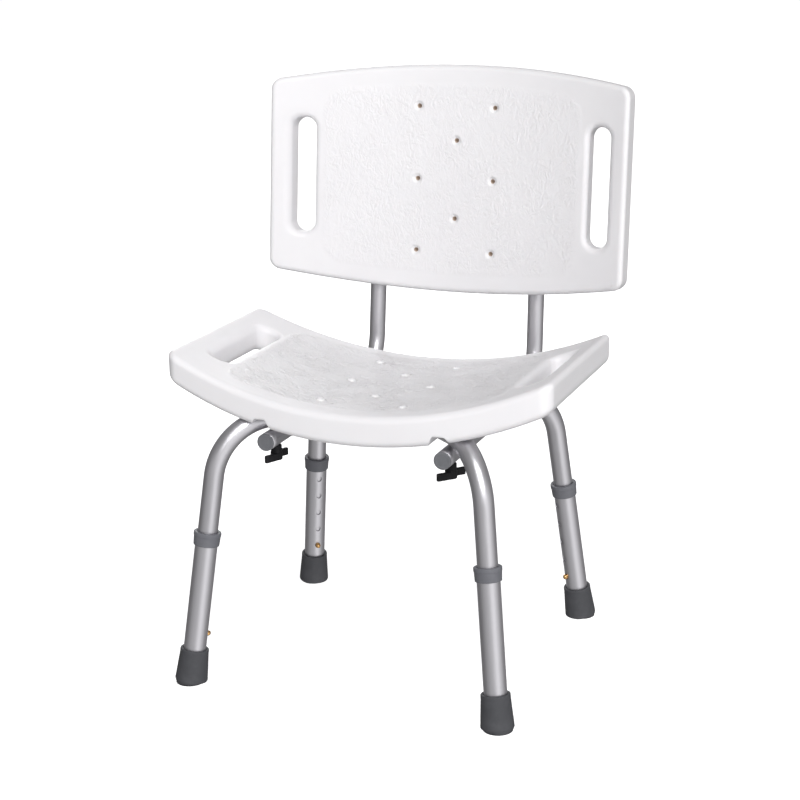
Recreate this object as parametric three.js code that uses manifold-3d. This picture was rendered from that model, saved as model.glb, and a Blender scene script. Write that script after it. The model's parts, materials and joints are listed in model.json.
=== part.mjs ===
// Shower chair with a moulded seat and backrest on an aluminium frame.
// Millimetres, +Z up, floor at z = 0. The sitter faces -Y, +X is the right-hand
// side seen from the front. Two bent leg tubes cross under the seat, each leg
// ends in a telescopic extension held by a snap button, and two bent back tubes
// are clamped under the leg tubes, in front by wing screws and behind by bolts,
// which all thread into the seat.
import * as THREE from 'three';
import { mergeVertices } from 'three/addons/utils/BufferGeometryUtils.js';
import Module from 'manifold-3d';

const wasm = await Module();
wasm.setup();

// ---------------------------------------------------------------- dimensions

const GAP = 0.3;

const SEAT = {
  halfWidth: 251,
  halfLength: 136.4,
  bow: 17,
  centreY: 3.5,
  topZ: 359.2,
  curveRadius: 570,
  thickness: 39,
  edgeRadius: 9,
  cornerRadius: 15,
  handleX: 206,
};
const SEAT_NOTCH = { radius: 12.5, topZ: 343 };

const BACK = {
  halfWidth: 252,
  halfLength: 129.4,
  bow: 25,
  centreY: 246.3,
  centreZ: 584.7,
  tilt: 0.1,
  curveRadius: 574,
  thickness: 39,
  edgeRadius: 8,
  cornerRadius: 13,
  handleX: 210,
};

const STATION_PITCH = 26;
const TUBE_SEGMENTS = 16;
const ROUND_SEGMENTS = 20;
const HOLE_SEGMENTS = 10;
const ARC_STEP = THREE.MathUtils.degToRad(12);
const HANDLE = { width: 31, length: 157, cornerRadius: 14, lip: 9, underLip: 15 };
const DRAIN = { radius: 2.9, dishRadius: 7.2, dishDepth: 2.6 };
const DRAIN_SPOTS = [
  [-54, -98], [54, -98],
  [0, -53],
  [-54, 0], [54, 0],
  [0, 53],
  [-54, 98], [54, 98],
];

const LEG_TUBE = { radius: 12.7, wall: 1.5, bendRadius: 80, runZ: 334.5 };
const LEG_DIP = { drop: 25.7, halfFlat: 22, halfSpan: 59, bendRadius: 50 };
const LEG_LEAN = { x: 0.105, y: 0.12 };
const FOOT_FRONT = { x: 205.2, y: -187.2 };
const FOOT_REAR = { x: 201.2, y: 189.4 };
const LEG_TUBE_END = 36;
const LEG_CHANNEL_LENGTH = 395;

const EXTENSION = { radius: 14.3, bore: 13.1, bottom: 8.7, top: 194.5 };
const HOLE = { radius: 3.9, lowest: 63, pitch: 26.5, count: 5 };
const COLLAR = { bottom: 181, top: 198.5, radius: 17, bore: 13.1, socket: 14.7 };
const TIP = { floorRadius: 20.7, topRadius: 17.8, height: 44, socket: 14.7, sole: 7.2, edge: 2.5 };
const WASHER = { radius: 14.2, bore: 5, thickness: 1 };
const BUTTON = { radius: 3.5, tubeHole: 3.8, base: 10.2, shoulder: 16, apex: 19.4 };
const SPRING = { inner: 9.2, outer: 10, width: 8, below: 7, above: 14 };

const BACK_TUBE = { radius: 11.1, wall: 1.4, bendRadius: 60, runZ: 309.2 };
const BACK_TUBE_RUN = { x: 116.5, frontY: -129, cornerY: 236.4 };
const BACK_TUBE_TOP = { x: 113.5, y: 273.5, z: 677.5 };
const PLUG = { head: 2.5, stem: 9, stemRadius: 9.2, bevel: 0.8 };

const WING = {
  hubRadius: 7.6,
  neckRadius: 7,
  reach: 22.5,
  past: 3.9,
  plate: 5.5,
  height: 10,
  bottom: 278.5,
};
const STUD = { radius: 3, tip: 358.5, clearance: 3.5 };
const BOLT_HEAD = { radius: 5.6, height: 3.4 };
const INSERT = { radius: 4.6, bore: 3.4, bottom: 348.5, top: 360.5 };
const SCREW = { radius: 2.1, headRadius: 4.6, head: 2.6, clearance: 2.6, reach: 18 };
const SCREW_HEIGHTS = [-70, 62];

// The pieces are drawn about the drain-hole pattern and moved so that the whole
// chair is centred on the origin front to back.
const CENTRE_SHIFT_Y = -46.1;

// ----------------------------------------------------------------- materials

const FINISH = {
  panel: { color: 0xebe9ec, roughness: 0.48, metalness: 0 },
  aluminium: { color: 0xb9b8bc, roughness: 0.34, metalness: 1 },
  extension: { color: 0xc4c3c6, roughness: 0.36, metalness: 1 },
  rubber: { color: 0x54575b, roughness: 0.82, metalness: 0 },
  collar: { color: 0x66696d, roughness: 0.6, metalness: 0 },
  plug: { color: 0x6d6e73, roughness: 0.6, metalness: 0 },
  knob: { color: 0x2b2b2d, roughness: 0.5, metalness: 0 },
  steel: { color: 0x9a9b9d, roughness: 0.32, metalness: 1 },
  brass: { color: 0xb5814a, roughness: 0.3, metalness: 1 },
};

// ------------------------------------------------------------------- helpers

function toManifold(geometry) {
  const plain = geometry.clone();
  plain.deleteAttribute('normal');
  plain.deleteAttribute('uv');
  const merged = mergeVertices(plain, 1e-3);
  return new wasm.Manifold(new wasm.Mesh({
    numProp: 3,
    vertProperties: new Float32Array(merged.attributes.position.array),
    triVerts: new Uint32Array(merged.index.array),
  }));
}

function toGeometry(solid) {
  const mesh = solid.getMesh();
  const geometry = new THREE.BufferGeometry();
  geometry.setAttribute('position', new THREE.BufferAttribute(mesh.vertProperties, 3));
  geometry.setIndex(new THREE.BufferAttribute(mesh.triVerts, 1));
  return geometry;
}

function cut(geometry, cutters) {
  let solid = toManifold(geometry);
  for (const cutter of cutters) {
    solid = solid.subtract(toManifold(cutter));
  }
  return toGeometry(solid);
}

function join(geometries) {
  return toGeometry(geometries.map(toManifold).reduce((whole, piece) => whole.add(piece)));
}

// Moves every vertex to the point that the rule gives for it.
function bend(geometry, rule) {
  const position = geometry.attributes.position;
  for (let i = 0; i < position.count; i += 1) {
    const [x, y, z] = rule(position.getX(i), position.getY(i), position.getZ(i));
    position.setXYZ(i, x, y, z);
  }
  return geometry;
}

// Closed turned solid about +Z from [radius, height] pairs running upwards.
function turned(profile, segments) {
  const points = profile.map(([radius, height]) => new THREE.Vector2(radius, height));
  return new THREE.LatheGeometry(points, segments).rotateX(Math.PI / 2);
}

function rod(radius, from, to, segments) {
  return turned([[0, from], [radius, from], [radius, to], [0, to]], segments);
}

function roundedRectangle(width, height, radius) {
  const x = width / 2;
  const y = height / 2;
  const shape = new THREE.Shape();
  shape.moveTo(x, -y + radius);
  shape.absarc(x - radius, y - radius, radius, 0, Math.PI / 2);
  shape.absarc(-x + radius, y - radius, radius, Math.PI / 2, Math.PI);
  shape.absarc(-x + radius, -y + radius, radius, Math.PI, Math.PI * 1.5);
  shape.absarc(x - radius, -y + radius, radius, Math.PI * 1.5, Math.PI * 2);
  return shape;
}

// Frame with +Z along an axis and +X as near as it can be to a wanted direction.
function axisFrame(origin, axis, wantedX) {
  const z = axis.clone().normalize();
  const y = new THREE.Vector3().crossVectors(z, wantedX).normalize();
  const x = new THREE.Vector3().crossVectors(y, z);
  return new THREE.Matrix4().makeBasis(x, y, z).setPosition(origin);
}

// Centre line of a bent tube: straight runs with a circular arc at each corner.
// Every straight run is one step and every arc is split into equal short steps.
class TubePath extends THREE.Curve {
  constructor(corners, radii) {
    super();
    this.steps = [];
    let start = corners[0];
    radii.forEach((radius, i) => {
      const corner = corners[i + 1];
      const into = corner.clone().sub(corners[i]).normalize();
      const out = corners[i + 2].clone().sub(corner).normalize();
      const angle = into.angleTo(out);
      const reach = radius * Math.tan(angle / 2);
      const axis = into.clone().cross(out).normalize();
      const arcStart = corner.clone().addScaledVector(into, -reach);
      const spoke = into.clone().cross(axis).multiplyScalar(radius);
      this.addLine(start, arcStart);
      this.addArc(arcStart.clone().sub(spoke), spoke, axis, angle);
      start = corner.clone().addScaledVector(out, reach);
    });
    this.addLine(start, corners[corners.length - 1]);
  }

  addLine(from, to) {
    this.steps.push((t) => from.clone().lerp(to, t));
  }

  addArc(centre, spoke, axis, angle) {
    const count = Math.ceil(angle / ARC_STEP);
    for (let k = 0; k < count; k += 1) {
      this.steps.push((t) => {
        const turn = (angle * (k + t)) / count;
        return spoke.clone().applyAxisAngle(axis, turn).add(centre);
      });
    }
  }

  getPoint(t) {
    const place = t * this.steps.length;
    const index = Math.min(Math.floor(place), this.steps.length - 1);
    return this.steps[index](place - index);
  }

  // Stations follow the steps, so the rings gather in the bends.
  getUtoTmapping(u) {
    return u;
  }
}

function bentTube(path, radius, wall) {
  const ring = new THREE.Shape().absarc(0, 0, radius, 0, Math.PI * 2);
  ring.holes.push(new THREE.Path().absarc(0, 0, radius - wall, 0, Math.PI * 2, true));
  return new THREE.ExtrudeGeometry(ring, {
    extrudePath: path,
    steps: path.steps.length,
    curveSegments: TUBE_SEGMENTS / 2,
  });
}

// -------------------------------------------------------------------- panels

// How far a rounded edge has drawn in at a distance from its end.
function roundingInset(radius, fromEnd) {
  const left = Math.max(radius - fromEnd, 0);
  return radius - Math.sqrt(radius * radius - left * left);
}

// Places across a panel where its section is drawn: evenly spaced, then closer
// together through the rounded ends.
function panelStations(panel) {
  const count = Math.floor((panel.halfWidth - panel.cornerRadius) / STATION_PITCH);
  const ends = [panel.cornerRadius, panel.edgeRadius, panel.edgeRadius / 2, 1.2, 0];
  const right = ends.map((fromEnd) => panel.halfWidth - fromEnd);
  const middle = [];
  for (let i = -count; i <= count; i += 1) {
    middle.push(i * STATION_PITCH);
  }
  return [...right.map((x) => -x).reverse(), ...middle, ...right];
}

// Rounded slab: the section is carried across the stations, follows the bowed
// long edges, and draws in at the ends. Panel coordinates are x across, y along,
// and z out of the face that the sitter touches, which is at z = 0.
function roundedSlab(panel) {
  const stations = panelStations(panel);
  const last = stations.length - 1;
  const middle = panel.thickness / 2;
  const section = roundedRectangle(2 * panel.halfWidth, panel.thickness, panel.edgeRadius);
  const slab = new THREE.ExtrudeGeometry(section, {
    depth: 1,
    steps: last,
    bevelEnabled: false,
    curveSegments: 2,
  });
  return bend(slab, (along, deep, t) => {
    const x = stations[Math.round(t * last)];
    const fromEnd = panel.halfWidth - Math.abs(x);
    const shrink = roundingInset(panel.cornerRadius, fromEnd);
    const bowed = panel.halfLength + panel.bow * (1 - (x / panel.halfWidth) ** 2);
    const length = Math.abs(along) + bowed - shrink - panel.halfWidth;
    const squeeze = 1 - roundingInset(panel.edgeRadius, fromEnd) / middle;
    return [x, Math.sign(along) * length, deep * squeeze - middle];
  });
}

function sagitta(radius, x) {
  return radius - Math.sqrt(radius * radius - x * x);
}

// Hand hole through a panel, with a rounded lip above and a fuller one underneath.
function handleCutter(x, y, thickness) {
  const { width, length, cornerRadius, lip, underLip } = HANDLE;
  const outline = roundedRectangle(width, length, cornerRadius);
  const depths = (radius) => [radius, radius / 4, 0, -radius / 2];
  const under = depths(underLip).map((depth) => depth - thickness).reverse();
  const levels = [...under, ...depths(lip).map((depth) => -depth)];
  const last = levels.length - 1;
  const cutter = new THREE.ExtrudeGeometry(outline, {
    depth: 1,
    steps: last,
    bevelEnabled: false,
    curveSegments: 2,
  });
  return bend(cutter, (dx, dy, t) => {
    const z = levels[Math.round(t * last)];
    const above = roundingInset(lip, Math.max(-z, 0));
    const below = roundingInset(underLip, Math.max(thickness + z, 0));
    const grow = above + below;
    return [x + dx + Math.sign(dx) * grow, y + dy + Math.sign(dy) * grow, z];
  });
}

// Drain hole with a shallow dish on the sitter's side.
function drainCutter(x, y, thickness) {
  const profile = [
    [0, -thickness - 1],
    [DRAIN.radius, -thickness - 1],
    [DRAIN.radius, -DRAIN.dishDepth],
    [DRAIN.dishRadius, 0],
    [DRAIN.dishRadius, 1],
    [0, 1],
  ];
  return turned(profile, HOLE_SEGMENTS).translate(x, y, 0);
}

// ---------------------------------------------------------------------- legs

const LEGS = [
  { name: 'front_left', x: -FOOT_FRONT.x, y: FOOT_FRONT.y },
  { name: 'front_right', x: FOOT_FRONT.x, y: FOOT_FRONT.y },
  { name: 'rear_left', x: -FOOT_REAR.x, y: FOOT_REAR.y },
  { name: 'rear_right', x: FOOT_REAR.x, y: FOOT_REAR.y },
];

function legAxis(leg) {
  return new THREE.Vector3(-Math.sign(leg.x) * LEG_LEAN.x, -Math.sign(leg.y) * LEG_LEAN.y, 1);
}

// Frame standing on the floor with +Z up the leg and +X towards the chair's middle.
function legFrame(leg) {
  const axis = legAxis(leg);
  const inward = new THREE.Vector3(axis.x, axis.y, 0);
  return axisFrame(new THREE.Vector3(leg.x, leg.y, 0), axis, inward);
}

function legPoint(leg, along) {
  return new THREE.Vector3(0, 0, along).applyMatrix4(legFrame(leg));
}

function legCorner(leg) {
  return legPoint(leg, LEG_TUBE.runZ * legAxis(leg).length());
}

const [FRONT_LEFT, FRONT_RIGHT, REAR_LEFT, REAR_RIGHT] = LEGS;

// Point on a leg tube's level run at a given x.
function runPoint(from, to, x) {
  const start = legCorner(from);
  const end = legCorner(to);
  return start.lerp(end, (x - start.x) / (end.x - start.x));
}

const CROSSING = runPoint(FRONT_LEFT, REAR_RIGHT, 0);

// Places where a back tube crosses under a leg tube and both are screwed to the
// seat: wing screws in front, plain bolts behind.
const FRONT_SPOTS = [
  { name: 'left', x: -BACK_TUBE_RUN.x, from: FRONT_LEFT, to: REAR_RIGHT, turn: -25 },
  { name: 'right', x: BACK_TUBE_RUN.x, from: FRONT_RIGHT, to: REAR_LEFT, turn: -41 },
].map((spot) => ({ ...spot, y: runPoint(spot.from, spot.to, spot.x).y }));

const REAR_SPOTS = [
  { name: 'left', x: -BACK_TUBE_RUN.x, from: FRONT_RIGHT, to: REAR_LEFT },
  { name: 'right', x: BACK_TUBE_RUN.x, from: FRONT_LEFT, to: REAR_RIGHT },
].map((spot) => ({ ...spot, y: runPoint(spot.from, spot.to, spot.x).y }));

const CROSSING_SPOTS = [...FRONT_SPOTS, ...REAR_SPOTS];

function uprightHole(spot, radius, from, to) {
  return rod(radius, from, to, HOLE_SEGMENTS).translate(spot.x, spot.y, 0);
}

// Hole through one wall of a leg, on the side that faces the chair's middle.
function legHole(leg, radius, height) {
  const reach = EXTENSION.radius + 3;
  return rod(radius, BUTTON.base - 3, reach, HOLE_SEGMENTS)
    .rotateY(Math.PI / 2)
    .translate(0, 0, height)
    .applyMatrix4(legFrame(leg));
}

function legTube(from, to, dips) {
  const start = legCorner(from);
  const end = legCorner(to);
  const along = end.clone().sub(start).normalize();
  const middle = dips
    ? [
      CROSSING.clone().addScaledVector(along, -LEG_DIP.halfSpan),
      CROSSING.clone().addScaledVector(along, -LEG_DIP.halfFlat),
      CROSSING.clone().addScaledVector(along, LEG_DIP.halfFlat),
      CROSSING.clone().addScaledVector(along, LEG_DIP.halfSpan),
    ]
    : [];
  middle.slice(1, 3).forEach((point) => {
    point.z -= LEG_DIP.drop;
  });
  const corners = [legPoint(from, LEG_TUBE_END), start, ...middle, end, legPoint(to, LEG_TUBE_END)];
  const radii = [
    LEG_TUBE.bendRadius,
    ...middle.map(() => LEG_DIP.bendRadius),
    LEG_TUBE.bendRadius,
  ];
  const tube = bentTube(new TubePath(corners, radii), LEG_TUBE.radius, LEG_TUBE.wall);
  const studHoles = CROSSING_SPOTS
    .filter((spot) => spot.from === from)
    .map((spot) => uprightHole(spot, STUD.clearance, LEG_TUBE.runZ - 20, LEG_TUBE.runZ + 20));
  const buttonHoles = [from, to].map((leg) => legHole(leg, BUTTON.tubeHole, HOLE.lowest));
  return cut(tube, [...studHoles, ...buttonHoles]);
}

function legExtension(leg) {
  const { radius, bore, bottom, top } = EXTENSION;
  const sleeve = turned([
    [bore, bottom],
    [radius, bottom],
    [radius, top],
    [bore, top],
    [bore, bottom],
  ], ROUND_SEGMENTS).applyMatrix4(legFrame(leg));
  const holes = [];
  for (let i = 0; i < HOLE.count; i += 1) {
    holes.push(legHole(leg, HOLE.radius, HOLE.lowest + i * HOLE.pitch));
  }
  return cut(sleeve, holes);
}

function collar(leg) {
  const { bottom, top, radius, bore, socket } = COLLAR;
  const step = EXTENSION.top + GAP;
  return turned([
    [socket, bottom],
    [radius - 0.9, bottom],
    [radius - 0.3, top - 5],
    [radius + 0.3, top - 4],
    [radius + 0.3, top - 1],
    [radius - 0.7, top],
    [bore, top],
    [bore, step],
    [socket, step],
    [socket, bottom],
  ], ROUND_SEGMENTS).applyMatrix4(legFrame(leg));
}

// The tip leans with the leg but stands flat on the floor.
function rubberTip(leg) {
  const { floorRadius, topRadius, height, socket, sole, edge } = TIP;
  const below = 6;
  const taper = (floorRadius - topRadius) / height;
  const cone = turned([
    [0, -below],
    [floorRadius - edge, -below],
    [floorRadius - edge, -edge],
    [floorRadius, edge / 2],
    [topRadius + 4 * taper, height - 4],
    [topRadius + 0.7, height - 3],
    [topRadius + 0.7, height - 1.2],
    [topRadius - 0.5, height],
    [socket, height],
    [socket, sole],
    [0, sole],
  ], ROUND_SEGMENTS).applyMatrix4(legFrame(leg));
  const underFloor = new THREE.BoxGeometry(80, 80, 40).translate(leg.x, leg.y, -20);
  return cut(cone, [underFloor]);
}

function tipWasher(leg) {
  const bottom = TIP.sole + GAP;
  const top = bottom + WASHER.thickness;
  return turned([
    [WASHER.bore, bottom],
    [WASHER.radius, bottom],
    [WASHER.radius, top],
    [WASHER.bore, top],
    [WASHER.bore, bottom],
  ], TUBE_SEGMENTS).applyMatrix4(legFrame(leg));
}

function snapButton(leg) {
  const { radius, base, shoulder, apex } = BUTTON;
  return turned([
    [0, base],
    [radius, base],
    [radius, shoulder],
    [radius * 0.75, (shoulder + apex) / 2 + 0.5],
    [radius * 0.35, apex - 0.2],
    [0, apex],
  ], HOLE_SEGMENTS)
    .rotateY(Math.PI / 2)
    .translate(0, 0, HOLE.lowest)
    .applyMatrix4(legFrame(leg));
}

// Hairpin of spring strip inside the leg tube, carrying the snap button.
function snapSpring(leg) {
  const { inner, outer, width, below, above } = SPRING;
  const hairpin = new THREE.Shape();
  hairpin.moveTo(outer, -below);
  hairpin.absarc(0, above, outer, 0, Math.PI);
  hairpin.lineTo(-outer, -below);
  hairpin.lineTo(-inner, -below);
  hairpin.absarc(0, above, inner, Math.PI, 0, true);
  hairpin.lineTo(inner, -below);
  return new THREE.ExtrudeGeometry(hairpin, { depth: width, bevelEnabled: false, curveSegments: 4 })
    .translate(0, 0, -width / 2)
    .rotateX(Math.PI / 2)
    .translate(0, 0, HOLE.lowest)
    .applyMatrix4(legFrame(leg));
}

// ---------------------------------------------------------------- back frame

function backTubeCorners(side) {
  const { x, frontY, cornerY } = BACK_TUBE_RUN;
  return [
    new THREE.Vector3(side * x, frontY, BACK_TUBE.runZ),
    new THREE.Vector3(side * x, cornerY, BACK_TUBE.runZ),
    new THREE.Vector3(side * BACK_TUBE_TOP.x, BACK_TUBE_TOP.y, BACK_TUBE_TOP.z),
  ];
}

// Frame on a back post's centre line, a given way up the backrest, with +Z
// pointing to the rear, square to the backrest.
function screwFrame(side, height) {
  const [, bottom, top] = backTubeCorners(side);
  const z = BACK.centreZ + height * Math.cos(BACK.tilt);
  const centre = bottom.lerp(top, (z - bottom.z) / (top.z - bottom.z));
  const rearward = new THREE.Vector3(0, Math.cos(BACK.tilt), -Math.sin(BACK.tilt));
  return axisFrame(centre, rearward, new THREE.Vector3(1, 0, 0));
}

function screwHole(side, height, radius, from, to) {
  return rod(radius, from, to, HOLE_SEGMENTS).applyMatrix4(screwFrame(side, height));
}

function backTube(side) {
  const { radius, wall, bendRadius, runZ } = BACK_TUBE;
  const tube = bentTube(new TubePath(backTubeCorners(side), [bendRadius]), radius, wall);
  const studHoles = CROSSING_SPOTS
    .filter((spot) => Math.sign(spot.x) === side)
    .map((spot) => uprightHole(spot, STUD.clearance, runZ - 20, runZ + 20));
  const screwHoles = SCREW_HEIGHTS
    .map((height) => screwHole(side, height, SCREW.clearance, -20, 20));
  return cut(tube, [...studHoles, ...screwHoles]);
}

// Plug pressed into a back tube's end; +Z of its frame points out of the tube.
function tubePlug(end, outward) {
  const { head, stem, stemRadius, bevel } = PLUG;
  const radius = BACK_TUBE.radius;
  return turned([
    [0, -stem],
    [stemRadius, -stem],
    [stemRadius, GAP],
    [radius, GAP],
    [radius, head - bevel],
    [radius - bevel, head],
    [0, head],
  ], TUBE_SEGMENTS).applyMatrix4(axisFrame(end, outward, new THREE.Vector3(1, 0, 0)));
}

function frontPlug(side) {
  const [front] = backTubeCorners(side);
  return tubePlug(front, new THREE.Vector3(0, -1, 0));
}

function postPlug(side) {
  const [, bottom, top] = backTubeCorners(side);
  return tubePlug(top, top.clone().sub(bottom));
}

function backrestScrew(side, height) {
  const seatAt = BACK_TUBE.radius + GAP;
  const { radius, headRadius, head, reach } = SCREW;
  return turned([
    [0, -reach],
    [radius, 2 * radius - reach],
    [radius, seatAt],
    [headRadius, seatAt],
    [headRadius, seatAt + head / 2],
    [headRadius * 0.7, seatAt + head],
    [0, seatAt + head],
  ], HOLE_SEGMENTS).applyMatrix4(screwFrame(side, height));
}

// --------------------------------------------------------------- wing screws

function wingKnob(spot) {
  const { hubRadius, neckRadius, reach, past, plate, height, bottom } = WING;
  const top = BACK_TUBE.runZ - BACK_TUBE.radius - GAP;
  const hub = turned([
    [0, bottom],
    [hubRadius, bottom],
    [hubRadius, bottom + height],
    [neckRadius, bottom + height + 0.6],
    [neckRadius, top],
    [0, top],
  ], TUBE_SEGMENTS);
  const outline = roundedRectangle(plate, reach + past, plate * 0.45);
  const wings = [0, Math.PI].map((turn) => new THREE.ExtrudeGeometry(outline, {
    depth: height - 1,
    bevelEnabled: false,
    curveSegments: 3,
  })
    .translate(plate / 2 - hubRadius, (reach - past) / 2, bottom + 0.5)
    .rotateZ(turn));
  const bore = rod(STUD.radius + GAP, bottom + 3, top + 1, HOLE_SEGMENTS);
  return cut(join([hub, ...wings]), [bore])
    .rotateZ(THREE.MathUtils.degToRad(spot.turn))
    .translate(spot.x, spot.y, 0);
}

function wingStud(spot) {
  return uprightHole(spot, STUD.radius, WING.bottom + 3 + GAP, STUD.tip);
}

function rearBolt(spot) {
  const top = BACK_TUBE.runZ - BACK_TUBE.radius - GAP;
  const { radius, height } = BOLT_HEAD;
  return turned([
    [0, top - height],
    [radius * 0.6, top - height],
    [radius, top - height * 0.55],
    [radius, top],
    [STUD.radius, top],
    [STUD.radius, STUD.tip],
    [0, STUD.tip],
  ], HOLE_SEGMENTS).translate(spot.x, spot.y, 0);
}

function seatInsert(spot) {
  const { radius, bore, bottom, top } = INSERT;
  return turned([
    [bore, bottom],
    [radius, bottom],
    [radius, top],
    [bore, top],
    [bore, bottom],
  ], HOLE_SEGMENTS).translate(spot.x, spot.y, 0);
}

// ---------------------------------------------------------------------- seat

function seatTop(x) {
  return SEAT.topZ + sagitta(SEAT.curveRadius, x);
}

function placeOnSeat(geometry) {
  return bend(geometry, (x, y, z) => [x, y, seatTop(x) + z]);
}

// Upside-down channel along +Y through the origin, rounded over the top.
function channel(radius, length) {
  const arch = new THREE.Shape();
  arch.moveTo(-radius, -3 * radius);
  arch.lineTo(radius, -3 * radius);
  arch.absarc(0, 0, radius, 0, Math.PI);
  return new THREE.ExtrudeGeometry(arch, { depth: length, bevelEnabled: false, curveSegments: 9 })
    .translate(0, 0, -length / 2)
    .rotateX(Math.PI / 2);
}

function legChannel(from, to) {
  const along = legCorner(to).sub(legCorner(from));
  const turn = Math.atan2(along.y, along.x) - Math.PI / 2;
  return channel(LEG_TUBE.radius + GAP + 0.1, LEG_CHANNEL_LENGTH)
    .rotateZ(turn)
    .translate(CROSSING.x, CROSSING.y, LEG_TUBE.runZ);
}

function seat() {
  const slab = roundedSlab(SEAT).translate(0, SEAT.centreY, 0);
  const notches = [-1, 1].map((side) => channel(SEAT_NOTCH.radius, 2 * SEAT.halfWidth)
    .translate(side * BACK_TUBE_RUN.x, 0, SEAT_NOTCH.topZ - SEAT_NOTCH.radius));
  const pockets = CROSSING_SPOTS.map((spot) => uprightHole(
    spot,
    INSERT.radius + GAP,
    LEG_TUBE.runZ,
    INSERT.top + GAP,
  ));
  const handles = [-1, 1].map((side) => placeOnSeat(
    handleCutter(side * SEAT.handleX, SEAT.centreY, SEAT.thickness),
  ));
  const drains = DRAIN_SPOTS.map(([x, y]) => placeOnSeat(drainCutter(x, y, SEAT.thickness)));
  return cut(placeOnSeat(slab), [
    legChannel(FRONT_LEFT, REAR_RIGHT),
    legChannel(FRONT_RIGHT, REAR_LEFT),
    ...notches,
    ...pockets,
    ...handles,
    ...drains,
  ]);
}

// ------------------------------------------------------------------ backrest

function placeOnBack(geometry) {
  const up = Math.cos(BACK.tilt);
  const lean = Math.sin(BACK.tilt);
  return bend(geometry, (x, y, z) => {
    const behind = -z - sagitta(BACK.curveRadius, x);
    return [
      x,
      BACK.centreY + y * lean + behind * up,
      BACK.centreZ + y * up - behind * lean,
    ];
  });
}

// Channel for a back post, open to the rear and below.
function postChannel(side) {
  const [, bottom, top] = backTubeCorners(side);
  const along = top.clone().sub(bottom);
  const from = BACK_TUBE.bendRadius;
  const to = along.length() + PLUG.head + 1;
  const frame = axisFrame(bottom, along, new THREE.Vector3(1, 0, 0));
  return channel(BACK_TUBE.radius + GAP + 0.1, to - from)
    .rotateX(Math.PI / 2)
    .translate(0, 0, (from + to) / 2)
    .applyMatrix4(frame);
}

function backrest() {
  const slab = roundedSlab(BACK);
  const handles = [-1, 1].map((side) => placeOnBack(
    handleCutter(side * BACK.handleX, 0, BACK.thickness),
  ));
  const drains = DRAIN_SPOTS.map(([x, y]) => placeOnBack(drainCutter(x, y, BACK.thickness)));
  const pilots = [-1, 1].flatMap((side) => SCREW_HEIGHTS.map((height) => screwHole(
    side,
    height,
    SCREW.radius + GAP,
    -SCREW.reach - GAP,
    0,
  )));
  return cut(placeOnBack(slab), [
    postChannel(-1),
    postChannel(1),
    ...handles,
    ...drains,
    ...pilots,
  ]);
}

// ------------------------------------------------------------------ assembly

const chair = new THREE.Group();
chair.name = 'shower_chair';

function add(name, geometry, finish) {
  const flat = geometry.index ? geometry.toNonIndexed() : geometry;
  flat.computeVertexNormals();
  flat.translate(0, CENTRE_SHIFT_Y, 0);
  const mesh = new THREE.Mesh(flat, new THREE.MeshStandardMaterial(finish));
  mesh.name = name;
  chair.add(mesh);
}

add('seat', seat(), FINISH.panel);
add('backrest', backrest(), FINISH.panel);
add('leg_tube_front_left_to_rear_right', legTube(FRONT_LEFT, REAR_RIGHT, false), FINISH.aluminium);
add('leg_tube_front_right_to_rear_left', legTube(FRONT_RIGHT, REAR_LEFT, true), FINISH.aluminium);

for (const leg of LEGS) {
  add(`leg_extension_${leg.name}`, legExtension(leg), FINISH.extension);
  add(`extension_collar_${leg.name}`, collar(leg), FINISH.collar);
  add(`rubber_tip_${leg.name}`, rubberTip(leg), FINISH.rubber);
  add(`tip_washer_${leg.name}`, tipWasher(leg), FINISH.steel);
  add(`snap_button_${leg.name}`, snapButton(leg), FINISH.brass);
  add(`snap_spring_${leg.name}`, snapSpring(leg), FINISH.steel);
}

for (const spot of FRONT_SPOTS) {
  add(`wing_knob_${spot.name}`, wingKnob(spot), FINISH.knob);
  add(`wing_stud_${spot.name}`, wingStud(spot), FINISH.steel);
  add(`seat_insert_front_${spot.name}`, seatInsert(spot), FINISH.brass);
}

for (const spot of REAR_SPOTS) {
  add(`rear_bolt_${spot.name}`, rearBolt(spot), FINISH.steel);
  add(`seat_insert_rear_${spot.name}`, seatInsert(spot), FINISH.brass);
}

for (const [side, name] of [[-1, 'left'], [1, 'right']]) {
  add(`back_tube_${name}`, backTube(side), FINISH.aluminium);
  add(`back_tube_front_plug_${name}`, frontPlug(side), FINISH.plug);
  add(`back_tube_top_plug_${name}`, postPlug(side), FINISH.plug);
  add(`backrest_screw_lower_${name}`, backrestScrew(side, SCREW_HEIGHTS[0]), FINISH.steel);
  add(`backrest_screw_upper_${name}`, backrestScrew(side, SCREW_HEIGHTS[1]), FINISH.steel);
}

export default chair;
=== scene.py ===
# Shower chair: smooth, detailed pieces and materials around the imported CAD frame.
import json
import math

import bmesh
import bpy
import numpy as np
from mathutils import Matrix, Vector
from mathutils.geometry import delaunay_2d_cdt


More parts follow.
